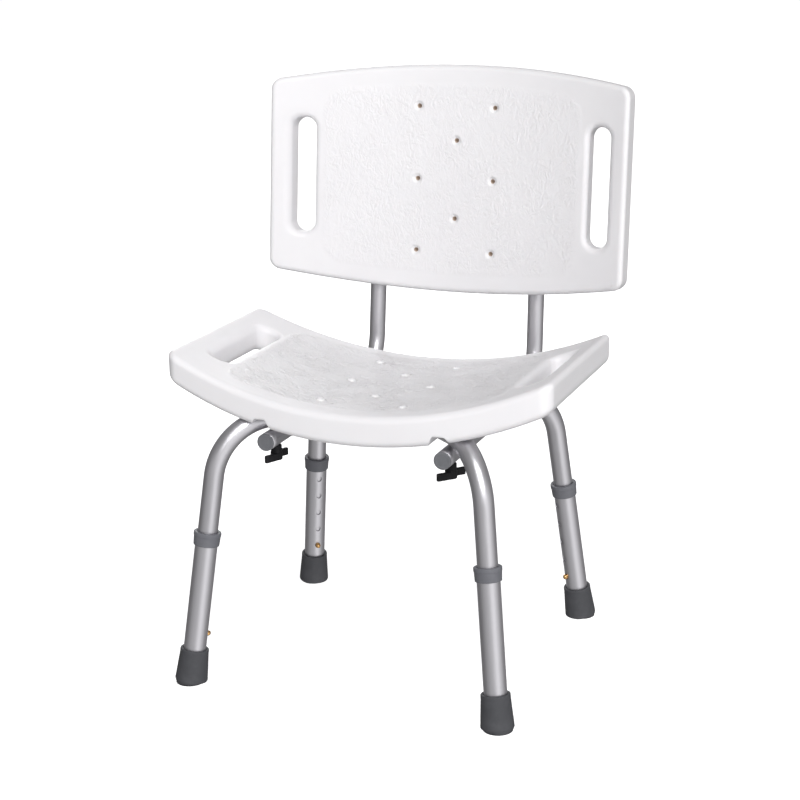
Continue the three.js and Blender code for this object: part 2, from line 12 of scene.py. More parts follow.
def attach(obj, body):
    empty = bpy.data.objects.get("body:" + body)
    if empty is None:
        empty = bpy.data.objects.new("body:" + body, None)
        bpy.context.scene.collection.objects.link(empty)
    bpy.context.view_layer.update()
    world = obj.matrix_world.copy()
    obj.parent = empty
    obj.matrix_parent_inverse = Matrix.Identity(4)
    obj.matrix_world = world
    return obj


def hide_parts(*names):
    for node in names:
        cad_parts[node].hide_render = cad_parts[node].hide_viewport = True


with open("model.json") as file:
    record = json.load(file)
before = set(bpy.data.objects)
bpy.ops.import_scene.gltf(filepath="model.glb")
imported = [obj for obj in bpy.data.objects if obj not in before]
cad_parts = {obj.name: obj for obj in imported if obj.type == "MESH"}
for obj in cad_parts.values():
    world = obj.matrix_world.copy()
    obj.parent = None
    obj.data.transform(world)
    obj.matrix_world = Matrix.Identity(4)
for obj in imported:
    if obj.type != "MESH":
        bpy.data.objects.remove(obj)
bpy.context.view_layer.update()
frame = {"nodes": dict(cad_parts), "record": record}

# ------------------------------------------------------------------ dimensions
# Millimetres, as in the CAD model; meshes are scaled to metres when made.

MM = 0.001
SHIFT_Y = -46.1
GAP = 0.3

SEAT = dict(half_width=251.0, half_length=136.4, bow=17.0, centre_y=3.5, top_z=359.2,
            curve_radius=570.0, thickness=39.0, edge_radius=9.0, corner_radius=15.0,
            handle_x=206.0)
BACK = dict(half_width=252.0, half_length=129.4, bow=25.0, centre_y=246.3, centre_z=584.7,
            tilt=0.1, curve_radius=574.0, thickness=39.0, edge_radius=8.0,
            corner_radius=13.0, handle_x=210.0)
NOTCH = dict(crown_z=343.0, flat=6.5, shoulder=8.5)
HANDLE = dict(width=31.0, length=157.0, corner_radius=14.0, lip=9.0, under_lip=15.0)
DRAIN = dict(radius=2.9, dish_radius=7.2, dish_depth=2.6)
DRAIN_SPOTS = [(-54, -98), (54, -98), (0, -53), (-54, 0), (54, 0), (0, 53), (-54, 98), (54, 98)]

GRAIN = dict(half_width=181.0, margin=27.0, corner_radius=26.0, fade=9.0)

LEG_TUBE = dict(radius=12.7, wall=1.5, bend_radius=80.0, run_z=334.5, end=36.0)
LEG_CHANNEL = dict(radius=LEG_TUBE["radius"] + GAP + 0.1, half=197.5)
LEG_DIP = dict(drop=25.7, half_flat=22.0, half_span=59.0, bend_radius=50.0)
LEG_LEAN = (0.105, 0.12)
FEET = {
    "front_left": (-205.2, -187.2),
    "front_right": (205.2, -187.2),
    "rear_left": (-201.2, 189.4),
    "rear_right": (201.2, 189.4),
}
EXTENSION = dict(radius=14.3, bore=13.1, bottom=8.7, top=194.5)
HOLE = dict(radius=3.9, lowest=63.0, pitch=26.5, count=5)
COLLAR = dict(bottom=181.0, top=198.5, radius=17.0, bore=13.1, socket=14.7)
TIP = dict(floor_radius=20.7, top_radius=17.8, height=44.0, socket=14.7, sole=7.2)
BUTTON = dict(radius=3.5, base=10.2, shoulder=16.0, apex=19.4)

BACK_TUBE = dict(radius=11.1, wall=1.4, bend_radius=60.0, run_z=309.2, x=116.5,
                 front_y=-129.0, corner_y=236.4, top_x=113.5, top_y=273.5, top_z=677.5)
PLUG = dict(head=2.5, stem=9.0, stem_radius=9.2)
WING = dict(hub_radius=7.6, neck_radius=7.0, reach=22.5, past=3.9, plate=5.5, height=10.0,
            bottom=278.5)
WING_TURNS = {"left": -25.0, "right": -41.0}
SCREW = dict(head_radius=4.6, head=2.6, radius=2.1, reach=18.0)
SCREW_HEIGHTS = {"lower": -70.0, "upper": 62.0}
BOLT = dict(radius=5.6, height=3.4, shank=3.0, tip_z=358.5)

# --------------------------------------------------------------------- helpers


def smoothstep(value):
    value = np.clip(value, 0.0, 1.0)
    return value * value * (3.0 - 2.0 * value)


def sagitta(radius, x):
    return radius - np.sqrt(radius * radius - x * x)


def make_object(name, verts, faces, uvs=None, masks=None):
    """Smooth-shaded mesh object from points in mm, with per-point uvs and named masks."""
    mesh = bpy.data.meshes.new(name)
    mesh.from_pydata((np.asarray(verts) * MM).tolist(), [], [list(map(int, f)) for f in faces])
    if uvs is not None:
        layer = mesh.uv_layers.new(name="UVMap")
        index = np.zeros(len(mesh.loops), dtype=np.int32)
        mesh.loops.foreach_get("vertex_index", index)
        layer.data.foreach_set("uv", np.asarray(uvs, dtype=np.float32)[index].ravel())
    for key, values in (masks or {}).items():
        attribute = mesh.attributes.new(key, "FLOAT", "POINT")
        attribute.data.foreach_set("value", np.asarray(values, dtype=np.float32))
    mesh.validate()
    mesh.polygons.foreach_set("use_smooth", [True] * len(mesh.polygons))
    mesh.update()
    obj = bpy.data.objects.new(name, mesh)
    bpy.context.collection.objects.link(obj)
    return obj


def finish_piece(obj, body, material, node):
    """The piece rides on a body, takes a material slot and stands for a CAD node."""
    obj.data.materials.clear()
    obj.data.materials.append(material)
    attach(obj, body)
    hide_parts(node)


def ring_faces(start_a, start_b, count):
    """Quads between two closed rings of the same count, from a to b."""
    return [
        (start_a + i, start_a + (i + 1) % count, start_b + (i + 1) % count, start_b + i)
        for i in range(count)
    ]


def lathe(profile, segments):
    """Points and faces of a profile of (radius, height) pairs turned about +Z."""
    angles = np.linspace(0, 2 * np.pi, segments, endpoint=False)
    verts, faces, uvs = [], [], []
    rings = []
    length = 0.0
    for k, (radius, height) in enumerate(profile):
        if k:
            length += math.dist(profile[k], profile[k - 1])
        if radius < 1e-6:
            rings.append((len(verts), 1))
            verts.append((0.0, 0.0, height))
            uvs.append((0.0, length))
        else:
            rings.append((len(verts), segments))
            verts.extend((radius * math.cos(a), radius * math.sin(a), height) for a in angles)
            uvs.extend((a / (2 * np.pi), length) for a in angles)
    for (a, count_a), (b, count_b) in zip(rings, rings[1:]):
        if count_a == segments and count_b == segments:
            faces.extend(ring_faces(a, b, segments))
        elif count_a == 1:
            faces.extend((a, b + (i + 1) % segments, b + i) for i in range(segments))
        else:
            faces.extend((a + i, a + (i + 1) % segments, b) for i in range(segments))
    return np.array(verts), faces, np.array(uvs)


def rounded(points, radii, steps=5):
    """Profile with its inner corners rounded by circular arcs."""
    out = [points[0]]
    for before, corner, after, radius in zip(points, points[1:], points[2:], radii):
        if radius <= 0:
            out.append(corner)
            continue
        corner_v = Vector(corner)
        into = (corner_v - Vector(before)).normalized()
        away = (Vector(after) - corner_v).normalized()
        turn = into.angle(away)
        reach = radius * math.tan(turn / 2)
        start = corner_v - into * reach
        side = 1.0 if into.x * away.y - into.y * away.x > 0 else -1.0
        normal = Vector((-into.y, into.x)) * side
        centre = start + normal * radius
        for k in range(steps + 1):
            angle = side * turn * k / steps
            spoke = start - centre
            spun = Vector((
                spoke.x * math.cos(angle) - spoke.y * math.sin(angle),
                spoke.x * math.sin(angle) + spoke.y * math.cos(angle),
            ))
            out.append(tuple(centre + spun))
    out.append(points[-1])
    return out


def transformed(verts, matrix):
    rotation = np.array(matrix.to_3x3())
    return np.asarray(verts) @ rotation.T + np.array(matrix.translation)


def axis_frame(origin, axis, wanted_x):
    z = Vector(axis).normalized()
    y = z.cross(Vector(wanted_x)).normalized()
    x = y.cross(z)
    matrix = Matrix((x, y, z)).transposed().to_4x4()
    matrix.translation = Vector(origin)
    return matrix


def bent_path(corners, radii, line_step=12.0, arc_step=math.radians(3)):
    """Points of straight runs joined by circular arcs."""
    corners = [Vector(c) for c in corners]
    points = []

    def add_line(start, end):
        count = max(1, round((end - start).length / line_step))
        points.extend(start.lerp(end, k / count) for k in range(count))

    start = corners[0]
    for i, radius in enumerate(radii):
        corner = corners[i + 1]
        into = (corner - corners[i]).normalized()
        away = (corners[i + 2] - corner).normalized()
        turn = into.angle(away)
        reach = radius * math.tan(turn / 2)
        axis = into.cross(away).normalized()
        arc_start = corner - into * reach
        spoke = into.cross(axis) * radius
        centre = arc_start - spoke
        add_line(start, arc_start)
        count = max(2, math.ceil(turn / arc_step))
        for k in range(count):
            points.append(centre + Matrix.Rotation(turn * k / count, 3, axis) @ spoke)
        start = corner + away * reach
    add_line(start, corners[-1])
    points.append(corners[-1])
    return points


def sweep(points, radius, wall, segments=64):
    """Open-ended tube with a wall along a path, as one closed skin."""
    tangents = []
    for i in range(len(points)):
        a = points[max(i - 1, 0)]
        b = points[min(i + 1, len(points) - 1)]
        tangents.append((b - a).normalized())
    normal = tangents[0].orthogonal().normalized()
    rings, lengths, length = [], [], 0.0
    for i, (point, tangent) in enumerate(zip(points, tangents)):
        if i:
            length += (points[i] - points[i - 1]).length
            normal = (normal - tangent * normal.dot(tangent)).normalized()
        rings.append((point, normal.copy(), tangent.cross(normal)))
        lengths.append(length)
    verts, uvs, faces = [], [], []
    layers = [(i, radius) for i in range(len(rings))]
    layers += [(i, radius - wall) for i in reversed(range(len(rings)))]
    edge = min(0.3, wall / 3)
    layers.insert(len(rings), (len(rings) - 1, radius - edge))
    for i, layer_radius in layers:
        point, u, v = rings[i]
        for k in range(segments):
            angle = 2 * math.pi * k / segments
            verts.append(point + (u * math.cos(angle) + v * math.sin(angle)) * layer_radius)
            uvs.append((k / segments, lengths[i]))
    for layer in range(len(layers)):
        a = layer * segments
        b = ((layer + 1) % len(layers)) * segments
        faces.extend(ring_faces(a, b, segments))
    return np.array(verts), faces, np.array(uvs)


# ---------------------------------------------------------------------- plates


def quarter_round(radius, steps=8):
    """(distance from the wall, depth below the face) pairs of a rounded edge."""
    angles = np.linspace(0, np.pi / 2, steps + 1)
    return [(radius * (1 - math.cos(a)), radius * (1 - math.sin(a))) for a in angles]


def loop_normals(loop):
    """Unit normals into the material, which lies left of the direction of travel."""
    tangent = np.roll(loop, -1, axis=0) - np.roll(loop, 1, axis=0)
    tangent /= np.linalg.norm(tangent, axis=1)[:, None]
    return np.stack([-tangent[:, 1], tangent[:, 0]], axis=1)


def inside_polygon(points, polygon):
    x, y = points[:, 0], points[:, 1]
    inside = np.zeros(len(points), dtype=bool)
    for (x0, y0), (x1, y1) in zip(polygon, np.roll(polygon, -1, axis=0)):
        crosses = (y0 > y) != (y1 > y)
        if y1 != y0:
            inside ^= crosses & (x < (x1 - x0) * (y - y0) / (y1 - y0) + x0)
    return inside


def nearest(points, targets):
    """Distance from each point to its nearest target."""
    out = np.empty(len(points))
    for start in range(0, len(points), 4000):
        block = points[start:start + 4000]
        gap = block[:, None, :] - targets[None, :, :]
        out[start:start + 4000] = np.sqrt((gap ** 2).sum(axis=2).min(axis=1))
    return out


def fill_face(rings, spacing, extra):
    """Triangles over the face inside the rings. The first ring is the outer one."""
    border = np.concatenate(rings)
    low, high = rings[0].min(axis=0), rings[0].max(axis=0)
    row = spacing * math.sqrt(3) / 2
    ys = np.arange(low[1], high[1], row)
    xs = np.arange(low[0], high[0], spacing)
    grid = np.array([
        (x + (spacing / 2 if j % 2 else 0.0), y) for j, y in enumerate(ys) for x in xs
    ])
    if extra is not None and len(extra):
        grid = np.concatenate([extra, grid[nearest(grid, extra) > spacing * 0.7]])
    keep = inside_polygon(grid, rings[0])
    for ring in rings[1:]:
        keep &= ~inside_polygon(grid, ring)
    grid = grid[keep]
    grid = grid[nearest(grid, border) > spacing * 0.5]
    edges, start = [], 0
    for ring in rings:
        count = len(ring)
        edges += [(start + i, start + (i + 1) % count) for i in range(count)]
        start += count
    points = np.concatenate([border, grid])
    verts, _, faces, _, _, _ = delaunay_2d_cdt(
        [Vector(p) for p in points], edges, [], 0, 1e-7, False,
    )
    if len(verts) != len(points):
        raise ValueError("the face's points were merged")
    triangles = np.array([f for f in faces if len(f) == 3])
    centres = points[triangles].mean(axis=1)
    keep = inside_polygon(centres, rings[0])
    for ring in rings[1:]:
        keep &= ~inside_polygon(centres, ring)
    return grid, triangles[keep]


def plate(loops, top, bottom, spacing, walls, extra_bottom=None, bottom_spacing=None):
    """Plate with rounded rims. Each loop is (points, top rim, bottom rim), the first
    one is the outline, counter-clockwise, and the others are holes, clockwise.
    top and bottom give a face's height from x, y and the rim's depth there."""
    verts, faces = [], []

    def add(points, heights):
        start = sum(len(v) for v in verts)
        verts.append(np.column_stack([points, heights]))
        return start

    last_rings = {"top": [], "bottom": []}
    for points, rim_top, rim_bottom in loops:
        normals = loop_normals(points)
        count = len(points)
        starts = {}
        for side, rim, height in (("top", rim_top, top), ("bottom", rim_bottom, bottom)):
            starts[side] = []
            for distance, depth in rim:
                ring = points + normals * distance
                starts[side].append(add(ring, height(ring[:, 0], ring[:, 1], depth)))
            last_rings[side].append((ring, starts[side][-1]))
        for a, b in zip(starts["top"], starts["top"][1:]):
            faces.extend(ring_faces(a, b, count))
        for a, b in zip(starts["bottom"], starts["bottom"][1:]):
            faces.extend(ring_faces(b, a, count))
        upper = top(points[:, 0], points[:, 1], rim_top[0][1])
        lower = bottom(points[:, 0], points[:, 1], rim_bottom[0][1])
        before = starts["bottom"][0]
        for k in range(1, walls):
            share = k / walls
            row = add(points, lower + (upper - lower) * share)
            faces.extend(ring_faces(before, row, count))
            before = row
        faces.extend(ring_faces(before, starts["top"][0], count))

    for side, height, extra in (("top", top, None), ("bottom", bottom, extra_bottom)):
        rings = [ring for ring, _ in last_rings[side]]
        pitch = spacing if side == "top" else (bottom_spacing or spacing)
        grid, triangles = fill_face(rings, pitch, extra)
        lookup = np.concatenate([
            np.arange(start, start + len(ring)) for ring, start in last_rings[side]
        ])
        start = add(grid, height(grid[:, 0], grid[:, 1], 0.0))
        lookup = np.concatenate([lookup, np.arange(start, start + len(grid))])
        picked = lookup[triangles]
        faces.extend(picked if side == "top" else picked[:, ::-1])
    return np.concatenate(verts), [tuple(f) for f in faces]


def rounded_rectangle(cx, cy, width, height, radius, step=3.0, arc_steps=10):
    """Clockwise loop of points, for a hole."""
    corners = [(1, 1), (-1, 1), (-1, -1), (1, -1)]
    points = []
    for k, (sx, sy) in enumerate(corners):
        centre = np.array([cx + sx * (width / 2 - radius), cy + sy * (height / 2 - radius)])
        first = k * math.pi / 2
        for i in range(arc_steps + 1):
            angle = first + math.pi / 2 * i / arc_steps
            points.append(centre + radius * np.array([math.cos(angle), math.sin(angle)]))
    dense = []
    for a, b in zip(points, points[1:] + points[:1]):
        count = max(1, int(np.linalg.norm(b - a) / step))
        dense.extend(a + (b - a) * i / count for i in range(count))
    return np.array(dense)[::-1]


def circle_loop(cx, cy, radius, count):
    angles = -np.linspace(0, 2 * np.pi, count, endpoint=False)
    return np.column_stack([cx + radius * np.cos(angles), cy + radius * np.sin(angles)])


def panel_outline(panel):
    """Counter-clockwise outline with bowed long edges and rounded corners."""
    width, radius = panel["half_width"], panel["corner_radius"]

    def edge(x):
        return panel["half_length"] + panel["bow"] * (1 - (x / width) ** 2)

    xs, x = [], -(width - radius)
    while x < width - radius:
        xs.append(x)
        fine = any(abs(x - spot) < 20 for spot in (-BACK_TUBE["x"], BACK_TUBE["x"]))
        x += 0.9 if fine else 3.0
    xs.append(width - radius)
    xs = np.array(xs)
    angles = np.linspace(0, np.pi / 2, 12)[:-1]
    corner_x = width - radius * (1 - np.cos(angles))
    corner_y = edge(corner_x) - radius * (1 - np.sin(angles))
    side_y = np.arange(-(corner_y[0] - 3), corner_y[0] - 1.5, 3.0)
    right = np.column_stack([np.full(len(side_y), width), side_y])
    corner = np.column_stack([corner_x, corner_y])
    half_top = np.column_stack([xs[::-1], edge(xs[::-1])])
    half_bottom = np.column_stack([xs, -edge(xs)])
    return np.concatenate([
        right,
        corner,
        half_top,
        (corner * [-1, 1])[::-1],
        right * [-1, -1],
        corner * [-1, -1],
        half_bottom,
        (corner * [1, -1])[::-1],
    ])


def drain_rim():
    """Dished mouth of a drain hole with softened edges."""
    depth, reach = DRAIN["dish_depth"], DRAIN["dish_radius"] - DRAIN["radius"]
    inner = [(0.0, depth + 0.7), (0.1, depth + 0.3), (0.35, depth - 0.05)]
    slope = [(reach * t, depth * (1 - t) ** 1.1) for t in (0.25, 0.45, 0.65, 0.8)]
    return inner + slope + [(reach * 0.93, 0.14), (reach + 0.25, 0.03), (reach + 1.0, 0.0)]


def panel_loops(panel):
    rim = quarter_round(panel["edge_radius"])
    lip = quarter_round(HANDLE["lip"], 10)
    under_lip = quarter_round(HANDLE["under_lip"], 12)
    loops = [(panel_outline(panel), rim, rim)]
    for side in (-1, 1):
        hole = rounded_rectangle(side * panel["handle_x"], 0.0, HANDLE["width"],
                                 HANDLE["length"], HANDLE["corner_radius"])
        loops.append((hole, lip, under_lip))
    for x, y in DRAIN_SPOTS:
        y = y - (panel["centre_y"] if panel is SEAT else 0.0)
        loops.append((circle_loop(x, y, DRAIN["radius"], 28), drain_rim(), quarter_round(0.6, 3)))
    return loops


def grain_mask(panel, x, y, z):
    """1 on the pebbled middle of a panel's face, 0 on its smooth margins."""
    bowed = panel["half_length"] + panel["bow"] * (1 - (x / panel["half_width"]) ** 2)
    edge, corner = bowed - GRAIN["margin"], GRAIN["corner_radius"]
    over_x = np.maximum(np.abs(x) - (GRAIN["half_width"] - corner), 0)
    over_y = np.maximum(np.abs(y) - (edge - corner), 0)
    outside = np.hypot(over_x, over_y) - corner
    return smoothstep(0.5 - outside / GRAIN["fade"]) * (z > -0.5)


def drain_glow_mask(panel, x, y, z):
    """1 inside the drain holes, where the panel materials paint a glow: painted light standing in
    for light through the thin plastic.
    """
    shift = panel["centre_y"] if panel is SEAT else 0.0
    spots = np.array([(sx, sy - shift) for sx, sy in DRAIN_SPOTS])
    near = nearest(np.column_stack([x, y]), spots)
    return (near < DRAIN["radius"] + 0.2) & (z < -DRAIN["dish_depth"])


def panel_masks(panel, x, y, z):
    return {"grain": grain_mask(panel, x, y, z), "drain": drain_glow_mask(panel, x, y, z)}


def panel_mesh(panel, bottom, extra):
    """Points and faces of a panel laid out flat, with its face at height 0."""
    return plate(panel_loops(panel), lambda x, y, depth: np.full_like(x, -depth), bottom,
                 spacing=3.0, walls=7, extra_bottom=extra, bottom_spacing=3.5)


def smooth_max(a, b, softness):
    return 0.5 * (a + b + np.sqrt((a - b) ** 2 + softness ** 2)) - softness * 0.08


# ------------------------------------------------------------------------ legs


def leg_axis(name):
    x, y = FEET[name]
    return Vector((-math.copysign(LEG_LEAN[0], x), -math.copysign(LEG_LEAN[1], y), 1.0))


def leg_frame(name):
    x, y = FEET[name]
    axis = leg_axis(name)
    return axis_frame((x, y + SHIFT_Y, 0.0), axis, (axis.x, axis.y, 0.0))


def leg_corner(name):
    return leg_frame(name) @ Vector((0, 0, LEG_TUBE["run_z"] * leg_axis(name).length))


def run_point(a, b, x):
    start, end = leg_corner(a), leg_corner(b)
    return start.lerp(end, (x - start.x) / (end.x - start.x))


# ----------------------------------------------------------------------- seat


def seat_top(x):
    return SEAT["top_z"] + sagitta(SEAT["curve_radius"], x)


def seat_bottom(x, y, depth):
    """Underside with channels for the leg tubes and grooves over the back tubes."""
    base = np.full_like(x, -SEAT["thickness"]) + depth
    world_y = y + SEAT["centre_y"] + SHIFT_Y
    height = base
    for side in (-1, 1):
        t = np.abs(x - side * BACK_TUBE["x"])
        crown = NOTCH["crown_z"] - seat_top(x)
        drop = smoothstep((t - NOTCH["flat"]) / NOTCH["shoulder"])
        groove = crown + (-SEAT["thickness"] - 1 - crown) * drop
        height = np.where(t < 16, smooth_max(height, groove, 0.8), height)
    for a, b in (("front_left", "rear_right"), ("front_right", "rear_left")):
        start, end = leg_corner(a), leg_corner(b)
        along = (end - start).normalized()
        dx, dy = x - start.x, world_y - start.y
        s = dx * along.x + dy * along.y
        t = np.abs(-dx * along.y + dy * along.x)
        radius = LEG_CHANNEL["radius"]
        arch = LEG_TUBE["run_z"] + np.sqrt(np.maximum(radius ** 2 - t ** 2, 0.0))
        ends = (end - start).length
        wall = smoothstep((radius + 0.5 - t) / 0.8)
        wall = wall * smoothstep((s - (ends / 2 - LEG_CHANNEL["half"])) / 1.5)
        wall = wall * smoothstep(((ends / 2 + LEG_CHANNEL["half"]) - s) / 1.5)
        channel = (arch - seat_top(x) + SEAT["thickness"]) * wall - SEAT["thickness"]
        height = np.maximum(height, channel)
    return height


def channel_points():
    """Rows of points that follow the channels' walls on the seat's underside."""
    radius = LEG_CHANNEL["radius"]
    offsets = [0, 5, 9.5, 12.0, radius - 0.35, radius + 0.15, radius + 0.55, radius + 3]
    rows = []
    for a, b in (("front_left", "rear_right"), ("front_right", "rear_left")):
        start, end = leg_corner(a), leg_corner(b)
        along = (end - start).normalized()
        middle = (start + end) / 2
        for s in np.arange(-201, 201.1, 3.0):
            for offset in offsets:
                for side in ((-1, 1) if offset else (1,)):
                    x = middle.x + along.x * s - along.y * offset * side
                    y = middle.y + along.y * s + along.x * offset * side
                    rows.append((x, y - SHIFT_Y - SEAT["centre_y"]))
    return np.array(rows)


def thin_points(points, gap):
    """Drops points that lie too close to an earlier one."""
    kept, cells = [], {}
    for p in points:
        cell = (int(p[0] // gap), int(p[1] // gap))
        near = [
            q for i in (-1, 0, 1) for j in (-1, 0, 1)
            for q in cells.get((cell[0] + i, cell[1] + j), ())
        ]
        if all((p[0] - q[0]) ** 2 + (p[1] - q[1]) ** 2 > gap * gap for q in near):
            kept.append(p)
            cells.setdefault(cell, []).append(p)
    return np.array(kept)


def build_seat():
    verts, faces = panel_mesh(SEAT, seat_bottom, thin_points(channel_points(), 0.45))
    x, y, z = verts.T
    placed = np.column_stack([x, y + SEAT["centre_y"] + SHIFT_Y, seat_top(x) + z])
    return make_object("seat_shell", placed, faces, np.column_stack([x, y]),
                       panel_masks(SEAT, x, y, z))


# ------------------------------------------------------------------- backrest


def place_on_back(x, v, z):
    up, lean = math.cos(BACK["tilt"]), math.sin(BACK["tilt"])
    behind = -z - sagitta(BACK["curve_radius"], x)
    return np.column_stack([
        x,
        BACK["centre_y"] + SHIFT_Y + v * lean + behind * up,
        BACK["centre_z"] + v * up - behind * lean,
    ])


def post_line(side, v):
    """(x, depth) of a back post's centre in the backrest's own coordinates."""
    up, lean = math.cos(BACK["tilt"]), math.sin(BACK["tilt"])
    z = BACK["centre_z"] + v * up
    share = (z - BACK_TUBE["run_z"]) / (BACK_TUBE["top_z"] - BACK_TUBE["run_z"])
    x = side * (BACK_TUBE["x"] + (BACK_TUBE["top_x"] - BACK_TUBE["x"]) * share)
    y = BACK_TUBE["corner_y"] + (BACK_TUBE["top_y"] - BACK_TUBE["corner_y"]) * share
    behind = (y - BACK["centre_y"]) * up - (z - BACK["centre_z"]) * lean
    return x, -behind - sagitta(BACK["curve_radius"], x)


POST_CHANNEL_TOP = 98.0
POST_CHANNEL_RADIUS = BACK_TUBE["radius"] + GAP + 0.1


def back_bottom(x, v, depth):
    height = np.full_like(x, -BACK["thickness"]) + depth
    radius = POST_CHANNEL_RADIUS
    for side in (-1, 1):
        line_x, line_z = post_line(side, v)
        over = np.maximum(v - (POST_CHANNEL_TOP - radius), 0.0)
        t = np.hypot(x - line_x, over)
        arch = line_z + np.sqrt(np.maximum(radius ** 2 - t ** 2, 0.0))
        wall = smoothstep((radius + 0.45 - t) / 0.7)
        channel = (arch + BACK["thickness"]) * wall - BACK["thickness"]
        height = np.maximum(height, channel)
    return height


def post_points():
    radius = POST_CHANNEL_RADIUS
    offsets = [0, 5, 8.5, 10.5, radius - 0.3, radius + 0.1, radius + 0.5, radius + 3]
    rows = []
    for side in (-1, 1):
        for v in np.arange(-150, POST_CHANNEL_TOP - radius + 0.1, 3.0):
            line_x, _ = post_line(side, v)
            for offset in offsets:
                rows.append((line_x + offset, v))
                rows.append((line_x - offset, v))
        v = POST_CHANNEL_TOP - radius
        line_x, _ = post_line(side, v)
        for offset in offsets[1:]:
            count = max(6, int(math.pi * offset / 2.2))
            for k in range(1, count):
                angle = math.pi * k / count
                rows.append((line_x + offset * math.cos(angle), v + offset * math.sin(angle)))
    return np.array(rows)


def build_backrest():
    verts, faces = panel_mesh(BACK, back_bottom, thin_points(post_points(), 0.38))
    x, v, z = verts.T
    return make_object("backrest_shell", place_on_back(x, v, z), faces,
                       np.column_stack([x, v]), panel_masks(BACK, x, v, z))


# ---------------------------------------------------------------- leg pieces


def build_leg_tube(name, a, b, dips):
    start, end = leg_corner(a), leg_corner(b)
    along = (end - start).normalized()
    crossing = run_point(a, b, 0.0)
    middle = []
    if dips:
        for reach in (-LEG_DIP["half_span"], -LEG_DIP["half_flat"],
                      LEG_DIP["half_flat"], LEG_DIP["half_span"]):
            point = crossing + along * reach
            if abs(reach) == LEG_DIP["half_flat"]:
                point.z -= LEG_DIP["drop"]
            middle.append(point)
    first = leg_frame(a) @ Vector((0, 0, LEG_TUBE["end"]))
    last = leg_frame(b) @ Vector((0, 0, LEG_TUBE["end"]))
    radii = [LEG_TUBE["bend_radius"]] + [LEG_DIP["bend_radius"]] * len(middle)
    radii.append(LEG_TUBE["bend_radius"])
    path = bent_path([first, start, *middle, end, last], radii)
    return make_object(name, *sweep(path, LEG_TUBE["radius"], LEG_TUBE["wall"]))


def build_extension(name, leg):
    """Sleeve with the adjustment holes through the wall that faces the middle."""
    outer, bore = EXTENSION["radius"], EXTENSION["bore"]
    wall = outer - bore
    around = math.pi * outer
    bottom, top = EXTENSION["bottom"], EXTENSION["top"]
    across = np.linspace(-around, around, 73)
    up = np.linspace(bottom, top, 64)
    outline = np.concatenate([
        np.column_stack([across, np.full(73, bottom)]),
        np.column_stack([np.full(62, around), up[1:-1]]),
        np.column_stack([across[::-1], np.full(73, top)]),
        np.column_stack([np.full(62, -around), up[::-1][1:-1]]),
    ])
    soft = quarter_round(0.28, 3)
    loops = [(outline, [(0.0, 0.0)], [(0.0, 0.0)])]
    for k in range(HOLE["count"]):
        loops.append((circle_loop(0.0, HOLE["lowest"] + k * HOLE["pitch"], HOLE["radius"], 32),
                      soft, soft))
    verts, faces = plate(loops, lambda x, y, d: np.full_like(x, -d),
                         lambda x, y, d: np.full_like(x, -wall) + d, spacing=2.4, walls=1)
    faces = [f for f in faces if not all(abs(abs(verts[i][0]) - around) < 1e-6 for i in f)]
    x, y, z = verts.T
    angle = x / outer
    local = np.column_stack([(outer + z) * np.cos(angle), (outer + z) * np.sin(angle), y])
    uvs = np.column_stack([angle / (2 * np.pi), y])
    obj = make_object(name, transformed(local, leg_frame(leg)), faces, uvs)
    weld(obj, 1e-5)
    return obj


def weld(obj, distance):
    bm = bmesh.new()
    bm.from_mesh(obj.data)
    bmesh.ops.remove_doubles(bm, verts=bm.verts, dist=distance)
    bm.to_mesh(obj.data)
    bm.free()


def build_lathe(name, profile, matrix, segments=72, floor=False):
    verts, faces, uvs = lathe(profile, segments)
    placed = transformed(verts, matrix)
    if floor:
        placed[:, 2] = np.maximum(placed[:, 2], 0.0)
    return make_object(name, placed, faces, uvs)


def collar_profile():
    bottom, top, radius = COLLAR["bottom"], COLLAR["top"], COLLAR["radius"]
    step = EXTENSION["top"] + GAP
    points = [
        (COLLAR["socket"], step),
        (COLLAR["socket"], bottom),
        (radius - 0.7, bottom),
        (radius - 0.1, top - 5.6),
        (radius + 0.35, top - 5.0),
        (radius + 0.35, top),
        (COLLAR["bore"], top),
        (COLLAR["bore"], step),
        (COLLAR["socket"], step),
    ]
    return rounded(points, [0.2, 0.8, 0.3, 0.3, 1.3, 0.5, 0.0])


def tip_profile():
    floor_radius, top_radius = TIP["floor_radius"], TIP["top_radius"]
    height, socket, sole = TIP["height"], TIP["socket"], TIP["sole"]
    slope = (floor_radius - top_radius) / height
    points = [
        (0.0, -6.0),
        (floor_radius - 2.4, -6.0),
        (floor_radius - 2.4, -2.6),
        (floor_radius, 3.2),
        (top_radius + 4.6 * slope, height - 4.6),
        (top_radius + 0.4, height - 4.0),
        (top_radius + 0.3, height),
        (socket, height),
        (socket, sole),
        (0.0, sole),
    ]
    return rounded(points, [0.0, 0.6, 4.0, 0.6, 0.6, 1.2, 0.6, 0.5])


def build_tip(name, leg):
    return build_lathe(name, tip_profile(), leg_frame(leg), 96, floor=True)


def build_button(name, leg):
    radius = BUTTON["radius"]
    rise = BUTTON["apex"] - BUTTON["shoulder"]
    dome = [(radius * math.cos(a), BUTTON["shoulder"] + rise * math.sin(a))
            for a in np.linspace(0, math.pi / 2, 12)[:-1]]
    dome.append((0.0, BUTTON["apex"]))
    profile = [(0.0, BUTTON["base"]), (radius, BUTTON["base"])] + dome
    verts, faces, uvs = lathe(profile, 32)
    verts = verts[:, [2, 1, 0]] * [1, 1, -1] + [0, 0, HOLE["lowest"]]
    return make_object(name, transformed(verts, leg_frame(leg)), faces, uvs)


# ---------------------------------------------------------------- back pieces


def back_corners(side):
    tube = BACK_TUBE
    return [
        Vector((side * tube["x"], tube["front_y"] + SHIFT_Y, tube["run_z"])),
        Vector((side * tube["x"], tube["corner_y"] + SHIFT_Y, tube["run_z"])),
        Vector((side * tube["top_x"], tube["top_y"] + SHIFT_Y, tube["top_z"])),
    ]


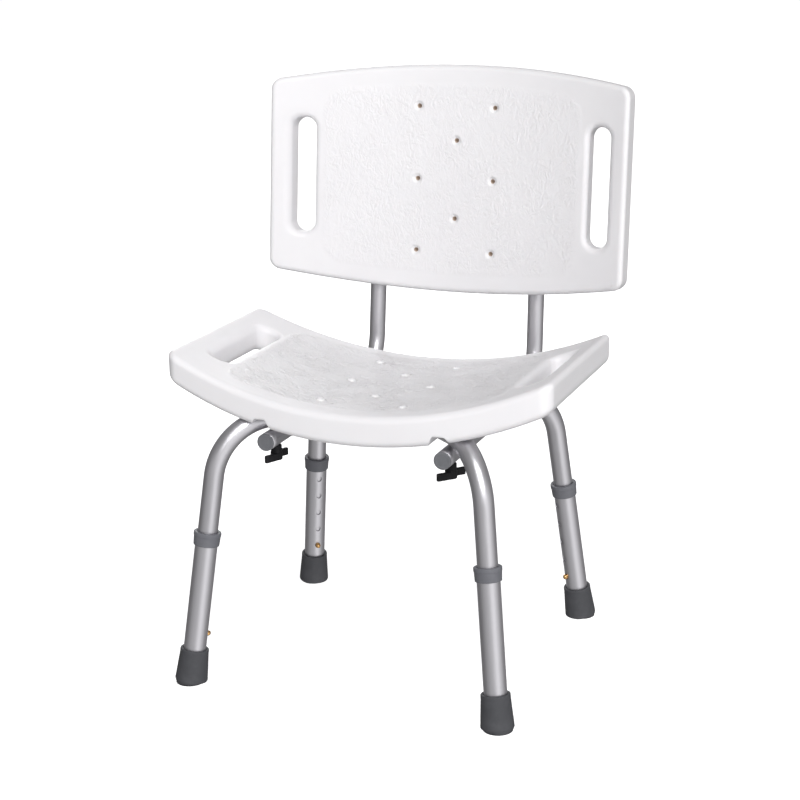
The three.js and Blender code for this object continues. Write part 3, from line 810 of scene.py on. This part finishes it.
def build_back_tube(name, side):
    path = bent_path(back_corners(side), [BACK_TUBE["bend_radius"]])
    return make_object(name, *sweep(path, BACK_TUBE["radius"], BACK_TUBE["wall"]))


def build_plug(name, end, outward):
    head, stem, radius = PLUG["head"], PLUG["stem"], BACK_TUBE["radius"]
    points = [
        (0.0, -stem),
        (PLUG["stem_radius"], -stem),
        (PLUG["stem_radius"], GAP),
        (radius, GAP),
        (radius, head),
        (radius * 0.72, head - 0.05),
        (radius * 0.66, head - 0.35),
        (0.0, head - 0.4),
    ]
    profile = rounded(points, [0.4, 0.0, 0.2, 0.75, 0.2, 0.2])
    return build_lathe(name, profile, axis_frame(end, outward, (1, 0, 0)))


def screw_frame(side, height):
    """On a back post's centre line, with +Z square to the backrest, to the rear."""
    _, bottom, top = back_corners(side)
    z = BACK["centre_z"] + height * math.cos(BACK["tilt"])
    centre = bottom.lerp(top, (z - bottom.z) / (top.z - bottom.z))
    rearward = (0.0, math.cos(BACK["tilt"]), -math.sin(BACK["tilt"]))
    return axis_frame(centre, rearward, (1, 0, 0))


def build_fastener(name, matrix, radius, height, seat_at, shank, reach, recess, depth):
    """Domed head with a driver recess, and its shank. recess(x, y) is 0 to 1."""
    rings, count = 16, 72
    angles = [2 * math.pi * k / count for k in range(count)]
    verts, faces = [(0.0, 0.0, reach)], []
    lower = [(shank - 0.5, reach), (shank, reach + 0.5), (shank, seat_at), (radius - 0.2, seat_at),
             (radius, seat_at + 0.2)]
    for r, z in lower:
        verts.extend((r * math.cos(a), r * math.sin(a), z) for a in angles)
    faces += [(0, 1 + (k + 1) % count, 1 + k) for k in range(count)]
    for i in range(len(lower) - 1):
        faces += ring_faces(1 + i * count, 1 + (i + 1) * count, count)
    before = 1 + (len(lower) - 1) * count
    for i in range(rings):
        tilt = math.pi / 2 * i / rings
        r = radius * math.cos(tilt)
        z = seat_at + height * (0.3 + 0.7 * math.sin(tilt) ** 0.9)
        start = len(verts)
        for a in angles:
            x, y = r * math.cos(a), r * math.sin(a)
            verts.append((x, y, z - depth * recess(x, y)))
        faces += ring_faces(before, start, count)
        before = start
    verts.append((0.0, 0.0, seat_at + height - depth * recess(0.0, 0.0)))
    faces += [(before + k, before + (k + 1) % count, len(verts) - 1) for k in range(count)]
    return make_object(name, transformed(np.array(verts), matrix), faces)


def cross_recess(x, y):
    """Cross-head slots that run out towards the head's rim."""
    long_way, short_way = max(abs(x), abs(y)), min(abs(x), abs(y))
    fade = smoothstep(np.array((2.6 - long_way) / 1.6))
    return float(fade * smoothstep(np.array((0.75 - short_way) / 0.4)))


def hex_recess(x, y):
    reach = max(abs(x * math.cos(t) + y * math.sin(t)) for t in (0, math.pi / 3, 2 * math.pi / 3))
    return float(smoothstep(np.array((2.7 - reach) / 0.4)))


def build_backrest_screw(name, side, height):
    return build_fastener(name, screw_frame(side, height), SCREW["head_radius"], SCREW["head"],
                          BACK_TUBE["radius"] + GAP, SCREW["radius"], -SCREW["reach"],
                          cross_recess, 1.5)


def build_rear_bolt(name, side, sign):
    pair = ("front_right", "rear_left") if side == "left" else ("front_left", "rear_right")
    spot = run_point(*pair, sign * BACK_TUBE["x"])
    seat_at = BACK_TUBE["run_z"] - BACK_TUBE["radius"] - GAP
    matrix = axis_frame((spot.x, spot.y, seat_at), (0, 0, -1), (1, 0, 0))
    return build_fastener(name, matrix, BOLT["radius"], BOLT["height"], 0.0, BOLT["shank"],
                          seat_at - BOLT["tip_z"], hex_recess, 2.0)


def join_remeshed(name, parts, voxel, smoothing):
    """One moulded skin around overlapping parts, with filleted inner corners."""
    mesh = bpy.data.meshes.new(name)
    bm = bmesh.new()
    for verts, faces in parts:
        points = [bm.verts.new(Vector(v) * MM) for v in verts]
        for face in faces:
            bm.faces.new([points[i] for i in face])
    bmesh.ops.recalc_face_normals(bm, faces=bm.faces)
    bm.to_mesh(mesh)
    bm.free()
    obj = bpy.data.objects.new(name, mesh)
    bpy.context.collection.objects.link(obj)
    remesh = obj.modifiers.new("remesh", "REMESH")
    remesh.mode = "VOXEL"
    remesh.voxel_size = voxel * MM
    smooth = obj.modifiers.new("smooth", "SMOOTH")
    smooth.factor = 0.5
    smooth.iterations = smoothing
    graph = bpy.context.evaluated_depsgraph_get()
    final = bpy.data.meshes.new_from_object(obj.evaluated_get(graph))
    obj.modifiers.clear()
    obj.data = final
    final.polygons.foreach_set("use_smooth", [True] * len(final.polygons))
    return obj


def slab(cx, cy, width, length, low, high, radius):
    """Upright rounded block as points and faces."""
    loop = rounded_rectangle(cx, cy, width, length, radius, step=2.0, arc_steps=6)[::-1]
    count = len(loop)
    verts, faces = [], []
    for z, shrink in ((low, 0.8), (low + 0.35, 0.25), (low + 0.9, 0.0), (high - 0.9, 0.0),
                      (high - 0.35, 0.25), (high, 0.8)):
        ring = loop + loop_normals(loop) * shrink
        verts.extend((x, y, z) for x, y in ring)
    for k in range(5):
        faces += ring_faces(k * count, (k + 1) * count, count)
    faces.append(tuple(range(count))[::-1])
    faces.append(tuple(range(5 * count, 6 * count)))
    return np.array(verts), faces


def build_wing(name, side):
    x = math.copysign(BACK_TUBE["x"], -1 if side == "left" else 1)
    pair = ("front_left", "rear_right") if side == "left" else ("front_right", "rear_left")
    spot = run_point(*pair, x)
    top = BACK_TUBE["run_z"] - BACK_TUBE["radius"] - GAP
    low, high = WING["bottom"], WING["bottom"] + WING["height"]
    hub, neck, thick = WING["hub_radius"], WING["neck_radius"], WING["plate"]
    reach, past = WING["reach"], WING["past"]
    profile = rounded([(0.0, low), (hub, low), (hub, high), (neck, high + 0.6), (neck, top),
                       (0.0, top)], [1.2, 0.4, 0.3, 0.6])
    verts, faces, _ = lathe(profile, 48)
    parts = [(verts, faces)]
    for turn in (0.0, math.pi):
        block, block_faces = slab(thick / 2 - hub, (reach - past) / 2, thick, reach + past,
                                  low + 0.3, high - 0.3, thick * 0.45)
        spin = np.array([[math.cos(turn), -math.sin(turn)], [math.sin(turn), math.cos(turn)]])
        block[:, :2] = block[:, :2] @ spin.T
        parts.append((block, block_faces))
    angle = math.radians(WING_TURNS[side])
    spin = np.array([[math.cos(angle), -math.sin(angle)], [math.sin(angle), math.cos(angle)]])
    placed = []
    for verts, faces in parts:
        verts = verts.copy()
        verts[:, :2] = verts[:, :2] @ spin.T + [spot.x, spot.y]
        placed.append((verts, faces))
    return join_remeshed(name, placed, 0.4, 4)


# ------------------------------------------------------------------ materials


def node_material(name):
    material = bpy.data.materials.new(name)
    material.use_nodes = True
    tree = material.node_tree
    return material, tree, tree.nodes["Principled BSDF"]


def add_node(tree, kind, inputs=None, **settings):
    node = tree.nodes.new(kind)
    for key, value in settings.items():
        setattr(node, key, value)
    for key, value in (inputs or {}).items():
        if hasattr(value, "is_linked"):
            tree.links.new(value, node.inputs[key])
        else:
            node.inputs[key].default_value = value
    return node


def map_range(tree, value, low, high, to_low, to_high):
    node = add_node(tree, "ShaderNodeMapRange",
                    {"Value": value, "From Min": low, "From Max": high,
                     "To Min": to_low, "To Max": to_high})
    return node.outputs["Result"]


def math_node(tree, operation, a, b=None):
    node = add_node(tree, "ShaderNodeMath", {0: a}, operation=operation)
    if b is not None:
        if hasattr(b, "is_linked"):
            tree.links.new(b, node.inputs[1])
        else:
            node.inputs[1].default_value = b
    return node.outputs[0]


def mix_colour(tree, factor, a, b):
    node = add_node(tree, "ShaderNodeMix", data_type="RGBA")
    tree.links.new(factor, node.inputs["Factor"])
    for key, value in ((6, a), (7, b)):
        if hasattr(value, "is_linked"):
            tree.links.new(value, node.inputs[key])
        else:
            node.inputs[key].default_value = (*value, 1.0)
    return node.outputs[2]


def object_coords(tree):
    return add_node(tree, "ShaderNodeTexCoord").outputs["Object"]


def noise(tree, vector, scale, detail=3.0, roughness=0.5, distortion=0.0):
    node = add_node(tree, "ShaderNodeTexNoise",
                    {"Vector": vector, "Scale": scale, "Detail": detail,
                     "Roughness": roughness, "Distortion": distortion})
    return node.outputs["Fac"]


def bump(tree, height, strength, distance, normal=None):
    inputs = {"Height": height, "Strength": strength, "Distance": distance}
    if normal is not None:
        inputs["Normal"] = normal
    return add_node(tree, "ShaderNodeBump", inputs).outputs["Normal"]


def wrinkles(tree, plane, turn, scale):
    """Leathery creases that run mostly along the panel's short side."""
    turned = add_node(tree, "ShaderNodeVectorRotate", {"Vector": plane, "Angle": turn},
                      rotation_type="Z_AXIS").outputs[0]
    stretched = add_node(tree, "ShaderNodeVectorMath", {0: turned, 1: scale},
                         operation="MULTIPLY").outputs[0]
    field = noise(tree, stretched, 1.0, 1.5, 0.5, 0.9)
    ridge = math_node(tree, "ABSOLUTE", math_node(tree, "SUBTRACT", field, 0.5))
    return map_range(tree, ridge, 0.0, 0.16, 1.0, 0.0)


def panel_material(name, shade, light, crease_turns, relief, drain_glow_colour, drain_glow):
    """Off-white moulded plastic: leathery grain in the middle, smooth margins, painted shade
    darkening the grain's creases and a painted glow in the drain holes.
    """
    material, tree, shader = node_material(name)
    coords = object_coords(tree)
    plane = add_node(tree, "ShaderNodeUVMap", uv_map="UVMap").outputs["UV"]
    mask = add_node(tree, "ShaderNodeAttribute", attribute_name="grain").outputs["Fac"]
    drain = add_node(tree, "ShaderNodeAttribute", attribute_name="drain").outputs["Fac"]
    main = wrinkles(tree, plane, crease_turns[0], (0.125, 0.058, 1.0))
    cross = wrinkles(tree, plane, crease_turns[1], (0.175, 0.085, 1.0))
    patches = map_range(tree, noise(tree, coords, 28.0, 2.0), 0.35, 0.6, 0.35, 1.0)
    creases = math_node(tree, "MULTIPLY", patches,
                        math_node(tree, "ADD", main, math_node(tree, "MULTIPLY", cross, 0.6)))
    swell = noise(tree, coords, 85.0, 3.0, 0.55, 0.6)
    height = math_node(tree, "ADD", creases, math_node(tree, "MULTIPLY", swell, 0.6))
    masked = math_node(tree, "MULTIPLY", height, mask)
    grained = bump(tree, masked, relief, 0.0011)
    fine = noise(tree, coords, 1300.0, 2.0)
    normal = bump(tree, fine, 0.07, 0.0002, grained)
    tree.links.new(normal, shader.inputs["Normal"])
    cloud = noise(tree, coords, 7.0, 4.0, 0.6)
    tint = mix_colour(tree, map_range(tree, cloud, 0.3, 0.7, 0.0, 1.0), shade, light)
    # Painted shade: the grain's creases are darkened towards the crease colour.
    wear_and_crease_shade = math_node(tree, "MULTIPLY", math_node(tree, "MULTIPLY", creases, mask), relief * 0.15)
    shaded = mix_colour(tree, wear_and_crease_shade, tint, PANEL_CREASE_SHADE)
    # Painted light: inside the drain holes the base colour turns to the drain colour and the
    # plastic glows, standing in for light through thin plastic.
    tree.links.new(mix_colour(tree, drain, shaded, drain_glow_colour), shader.inputs["Base Color"])
    gloss = map_range(tree, noise(tree, coords, 60.0, 2.0), 0.3, 0.7, 0.40, 0.47)
    tree.links.new(math_node(tree, "ADD", gloss, math_node(tree, "MULTIPLY", mask, 0.05)),
                   shader.inputs["Roughness"])
    shader.inputs["Emission Color"].default_value = (*drain_glow_colour, 1.0)
    tree.links.new(math_node(tree, "MULTIPLY", drain, drain_glow),
                   shader.inputs["Emission Strength"])
    shader.inputs["Subsurface Weight"].default_value = 0.12
    shader.inputs["Subsurface Radius"].default_value = (0.004, 0.0036, 0.0034)
    shader.inputs["Subsurface Scale"].default_value = 1.0
    shader.inputs["Specular IOR Level"].default_value = 0.42
    return material


def tube_material(name, colour, roughness, streaks):
    """Satin anodised tube, drawn lengthwise, with faint handling marks."""
    material, tree, shader = node_material(name)
    uv = add_node(tree, "ShaderNodeUVMap", uv_map="UVMap").outputs["UV"]
    stretched = add_node(tree, "ShaderNodeVectorMath",
                         {0: uv, 1: (170.0, 0.035, 1.0)}, operation="MULTIPLY").outputs[0]
    drawn = noise(tree, stretched, 1.0, 4.0, 0.6)
    coords = object_coords(tree)
    cloud = noise(tree, coords, 22.0, 4.0, 0.6)
    speck = noise(tree, coords, 900.0, 2.0)
    shade = mix_colour(tree, map_range(tree, drawn, 0.3, 0.7, 0.0, 1.0),
                       tuple(c * 0.93 for c in colour), colour)
    # Handling wear: cloudy patches up to 12 % darker, at random.
    wear_and_crease_shade = mix_colour(tree, math_node(tree, "MULTIPLY",
                                      map_range(tree, cloud, 0.55, 0.75, 0.0, 1.0), 0.12),
                      shade, tuple(c * 0.84 for c in colour))
    tree.links.new(wear_and_crease_shade, shader.inputs["Base Color"])
    rough = math_node(tree, "ADD", map_range(tree, drawn, 0.3, 0.7, roughness - 0.04,
                                             roughness + 0.04),
                      math_node(tree, "MULTIPLY", math_node(tree, "SUBTRACT", cloud, 0.5), 0.10))
    tree.links.new(rough, shader.inputs["Roughness"])
    normal = bump(tree, drawn, streaks, 0.00015)
    tree.links.new(bump(tree, speck, 0.05, 0.0001, normal), shader.inputs["Normal"])
    shader.inputs["Metallic"].default_value = 1.0
    return material


def moulded_material(name, colour, light, roughness, grain, specular=0.4):
    """Moulded rubber or plastic with a fine texture and slight chalking."""
    material, tree, shader = node_material(name)
    coords = object_coords(tree)
    fine = noise(tree, coords, 1500.0, 3.0, 0.6)
    cloud = noise(tree, coords, 45.0, 4.0, 0.6)
    chalk = map_range(tree, cloud, 0.42, 0.72, 0.0, 1.0)
    shade = mix_colour(tree, chalk, colour, light)
    tree.links.new(shade, shader.inputs["Base Color"])
    tree.links.new(map_range(tree, cloud, 0.3, 0.7, roughness - 0.05, roughness + 0.06),
                   shader.inputs["Roughness"])
    tree.links.new(bump(tree, fine, grain, 0.00035), shader.inputs["Normal"])
    shader.inputs["Specular IOR Level"].default_value = specular
    return material


def small_metal(name, colour, roughness):
    """Plated or machined small metal part."""
    material, tree, shader = node_material(name)
    coords = object_coords(tree)
    cloud = noise(tree, coords, 180.0, 4.0, 0.6)
    shade = mix_colour(tree, map_range(tree, cloud, 0.35, 0.7, 0.0, 1.0),
                       colour, tuple(c * 0.8 for c in colour))
    tree.links.new(shade, shader.inputs["Base Color"])
    tree.links.new(map_range(tree, cloud, 0.3, 0.7, roughness - 0.05, roughness + 0.08),
                   shader.inputs["Roughness"])
    tree.links.new(bump(tree, cloud, 0.12, 0.0002), shader.inputs["Normal"])
    shader.inputs["Metallic"].default_value = 1.0
    return material


# Colour of the painted shade in the panels' grain creases.
PANEL_CREASE_SHADE = (0.69, 0.675, 0.70)
BACK_PLASTIC = panel_material("back_plastic", (0.80, 0.787, 0.805), (0.835, 0.824, 0.84),
                              (0.38, -0.30), 0.42, (0.50, 0.41, 0.34), 0.16)
# Painted light: the seat uses the backrest's plastic painted 0.03 lighter in both tones, for the
# brighter look of its top.
SEAT_PLASTIC_PAINTED_LIGHTER = panel_material("seat_plastic_painted_lighter", (0.83, 0.817, 0.836), (0.865, 0.853, 0.871),
                              (1.72, 1.36), 1.0, (0.86, 0.84, 0.83), 0.40)
TUBE = tube_material("anodised_tube", (0.62, 0.61, 0.638), 0.40, 0.18)
SLEEVE = tube_material("anodised_sleeve", (0.65, 0.64, 0.67), 0.42, 0.18)
RUBBER = moulded_material("tip_rubber", (0.062, 0.063, 0.070), (0.080, 0.081, 0.089), 0.66, 0.35)
COLLAR_PLASTIC = moulded_material("collar_plastic", (0.145, 0.147, 0.165), (0.17, 0.172, 0.19),
                                  0.5, 0.25)
PLUG_PLASTIC = moulded_material("plug_plastic", (0.15, 0.153, 0.165), (0.18, 0.183, 0.195),
                                0.6, 0.3, 0.22)
KNOB_PLASTIC = moulded_material("knob_plastic", (0.008, 0.008, 0.0095), (0.014, 0.014, 0.016),
                                0.5, 0.25, 0.2)
STEEL = small_metal("plated_steel", (0.58, 0.58, 0.59), 0.3)
BRASS = small_metal("bright_brass", (0.80, 0.47, 0.19), 0.22)

CAD_MATERIALS = {"steel": STEEL, "brass": BRASS, "knob_plastic": KNOB_PLASTIC}

# --------------------------------------------------------------------- pieces

finish_piece(build_seat(), "frame", SEAT_PLASTIC_PAINTED_LIGHTER, "seat")
finish_piece(build_backrest(), "frame", BACK_PLASTIC, "backrest")

for a, b, dips in (("front_left", "rear_right", False), ("front_right", "rear_left", True)):
    finish_piece(build_leg_tube(f"tube_{a}_to_{b}", a, b, dips), "frame", TUBE,
                 f"leg_tube_{a}_to_{b}")

for leg in FEET:
    body = f"leg_extension_{leg}"
    finish_piece(build_extension(f"sleeve_{leg}", leg), body, SLEEVE,
                 f"leg_extension_{leg}")
    finish_piece(build_lathe(f"collar_{leg}", collar_profile(), leg_frame(leg)), body,
                 COLLAR_PLASTIC, f"extension_collar_{leg}")
    finish_piece(build_tip(f"tip_{leg}", leg), body, RUBBER, f"rubber_tip_{leg}")
    finish_piece(build_button(f"button_{leg}", leg), f"snap_button_{leg}", BRASS,
                 f"snap_button_{leg}")

for side, sign in (("left", -1), ("right", 1)):
    front, corner, top = back_corners(sign)
    finish_piece(build_back_tube(f"post_{side}", sign), "frame", TUBE,
                 f"back_tube_{side}")
    finish_piece(build_plug(f"front_plug_{side}", front, (0, -1, 0)), "frame",
                 PLUG_PLASTIC, f"back_tube_front_plug_{side}")
    finish_piece(build_plug(f"top_plug_{side}", top, top - corner), "frame",
                 PLUG_PLASTIC, f"back_tube_top_plug_{side}")
    finish_piece(build_wing(f"wing_{side}", side), f"wing_screw_{side}",
                 KNOB_PLASTIC, f"wing_knob_{side}")
    for level, height in SCREW_HEIGHTS.items():
        finish_piece(build_backrest_screw(f"screw_{level}_{side}", sign, height), "frame",
                     STEEL, f"backrest_screw_{level}_{side}")
    finish_piece(build_rear_bolt(f"bolt_{side}", side, sign), "frame", STEEL,
                 f"rear_bolt_{side}")

for name, node in frame["nodes"].items():
    slot = next(p["material_slot"] for p in frame["record"]["subparts"] if p["node"] == name)
    if slot in CAD_MATERIALS:
        node.data.materials.clear()
        node.data.materials.append(CAD_MATERIALS[slot])

# ---------------------------------------------------------- camera and studio

CAMERA_AZIMUTH = math.radians(21.46)
CAMERA_ELEVATION = math.radians(15.76)
CAMERA_ROLL = math.radians(-0.77)
CAMERA_PLACE = (0.82727, -2.12006, 0.96944)
LENS_PER_SENSOR = 2.27335
SENSOR = 36.0

back = Vector((
    math.sin(CAMERA_AZIMUTH) * math.cos(CAMERA_ELEVATION),
    -math.cos(CAMERA_AZIMUTH) * math.cos(CAMERA_ELEVATION),
    math.sin(CAMERA_ELEVATION),
))
level = Vector((0, 0, 1)).cross(back).normalized()
upright = back.cross(level)
right = level * math.cos(CAMERA_ROLL) + upright * math.sin(CAMERA_ROLL)
up = upright * math.cos(CAMERA_ROLL) - level * math.sin(CAMERA_ROLL)
camera = bpy.data.objects.new("camera", bpy.data.cameras.new("camera"))
camera.data.sensor_width = SENSOR
camera.data.lens = SENSOR * LENS_PER_SENSOR
camera.matrix_world = Matrix((right, up, back)).transposed().to_4x4()
camera.location = CAMERA_PLACE
bpy.context.collection.objects.link(camera)
bpy.context.scene.camera = camera


def area_light(name, place, target, size, power):
    light = bpy.data.lights.new(name, "AREA")
    light.energy = power
    light.size = size
    obj = bpy.data.objects.new(name, light)
    obj.location = place
    direction = Vector(target) - Vector(place)
    obj.rotation_mode = "QUATERNION"
    obj.rotation_quaternion = direction.to_track_quat("-Z", "Y")
    bpy.context.collection.objects.link(obj)


area_light("key", (1.22, -2.30, 2.45), (0, 0, 0.45), 1.6, 80)
area_light("rim", (-1.5, 2.3, 1.5), (0, 0, 0.4), 1.2, 20)


def heading(degrees_from_front):
    """Level direction, measured from the chair's front towards its right-hand side."""
    angle = math.radians(degrees_from_front)
    return (math.sin(angle), -math.cos(angle), 0.0)


def strip(tree, level, towards, outer, inner, strength):
    """Soft upright strip of light round a heading, fading from inner to outer degrees."""
    dot = add_node(tree, "ShaderNodeVectorMath", {0: level, 1: heading(towards)},
                   operation="DOT_PRODUCT").outputs["Value"]
    node = add_node(tree, "ShaderNodeMapRange",
                    {"Value": dot, "From Min": math.cos(math.radians(outer)),
                     "From Max": math.cos(math.radians(inner)), "To Min": 0.0,
                     "To Max": strength},
                    interpolation_type="SMOOTHSTEP")
    return node.outputs["Result"]


def studio_world():
    """Soft room: dim sides, a bright front and strip boxes for the metal to mirror."""
    world = bpy.data.worlds.new("studio")
    bpy.context.scene.world = world
    world.use_nodes = True
    tree = world.node_tree
    direction = add_node(tree, "ShaderNodeTexCoord").outputs["Generated"]
    flat = add_node(tree, "ShaderNodeVectorMath", {0: direction, 1: (1.0, 1.0, 0.0)},
                    operation="MULTIPLY").outputs[0]
    level = add_node(tree, "ShaderNodeVectorMath", {0: flat}, operation="NORMALIZE").outputs[0]
    total = strip(tree, level, 20, 105, 10, 0.34)
    total = math_node(tree, "ADD", total, 0.17)
    for towards, outer, inner, strength in STRIPS:
        total = math_node(tree, "ADD", total,
                          strip(tree, level, towards, outer, inner, strength))
    height = add_node(tree, "ShaderNodeSeparateXYZ", {0: direction}).outputs["Z"]
    total = math_node(tree, "MULTIPLY", total, map_range(tree, height, -0.12, 0.10, 1.0, 1.17))
    above = add_node(tree, "ShaderNodeMapRange",
                     {"Value": height, "From Min": 0.02, "From Max": 0.7, "To Min": 0.0,
                      "To Max": 1.0}, interpolation_type="SMOOTHSTEP").outputs["Result"]
    mixed = add_node(tree, "ShaderNodeMix", {0: above, 2: total, 3: 0.30}, data_type="FLOAT")
    background = tree.nodes["Background"]
    background.inputs["Color"].default_value = (1.0, 1.0, 1.0, 1.0)
    tree.links.new(mixed.outputs[0], background.inputs["Strength"])


STRIPS = [(50, 26, 4, 0.34), (72, 52, 10, 0.40), (138, 24, 8, 0.10), (-140, 20, 8, 0.35)]
studio_world()
bpy.context.scene.view_settings.view_transform = "Standard"


def stage_piece(name, build, material):
    """Studio surface that only the camera sees, so it neither lights nor shades the chair."""
    mesh = bpy.data.meshes.new(name)
    bm = bmesh.new()
    build(bm)
    bm.to_mesh(mesh)
    bm.free()
    obj = bpy.data.objects.new(name, mesh)
    bpy.context.collection.objects.link(obj)
    mesh.materials.append(material)
    obj.visible_glossy = False
    obj.visible_diffuse = False
    obj.visible_shadow = False


def floor_material():
    material, tree, shader = node_material("pale_floor")
    coords = object_coords(tree)
    cloud = noise(tree, coords, 3.0, 3.0)
    shade = mix_colour(tree, cloud, (0.92, 0.92, 0.922), (0.94, 0.94, 0.942))
    tree.links.new(shade, shader.inputs["Base Color"])
    shader.inputs["Roughness"].default_value = 0.8
    shader.inputs["Specular IOR Level"].default_value = 0.1
    shader.inputs["Emission Color"].default_value = (1.0, 1.0, 1.0, 1.0)
    # Painted light: the floor glows more with distance from the chair, from the near glow at 0.5 m
    # to 1.0 beyond 2 m, fading the floor to white away from the legs.
    far = add_node(tree, "ShaderNodeVectorMath", {0: coords}, operation="LENGTH")
    glow = map_range(tree, far.outputs["Value"], 0.5, 2.0, FLOOR_GLOW, 1.0)
    tree.links.new(glow, shader.inputs["Emission Strength"])
    return material


def backdrop_material():
    material, _, shader = node_material("white_backdrop")
    shader.inputs["Base Color"].default_value = (0.0, 0.0, 0.0, 1.0)
    shader.inputs["Specular IOR Level"].default_value = 0.0
    shader.inputs["Emission Color"].default_value = (1.0, 1.0, 1.0, 1.0)
    shader.inputs["Emission Strength"].default_value = 1.02
    return material


FLOOR_GLOW = 0.60
FLOOR_HALF = 14.0
FLOOR_DROP = 0.108
BACKDROP_RADIUS = 13.0


def build_floor(bm):
    """Square floor, low enough for the legs at their longest setting."""
    corners = ((-1, -1), (1, -1), (1, 1), (-1, 1))
    bm.faces.new([bm.verts.new((x * FLOOR_HALF, y * FLOOR_HALF, -FLOOR_DROP))
                  for x, y in corners])


def build_backdrop(bm):
    bmesh.ops.create_uvsphere(bm, u_segments=48, v_segments=24, radius=BACKDROP_RADIUS)


stage_piece("studio_floor", build_floor, floor_material())
stage_piece("studio_backdrop", build_backdrop, backdrop_material())
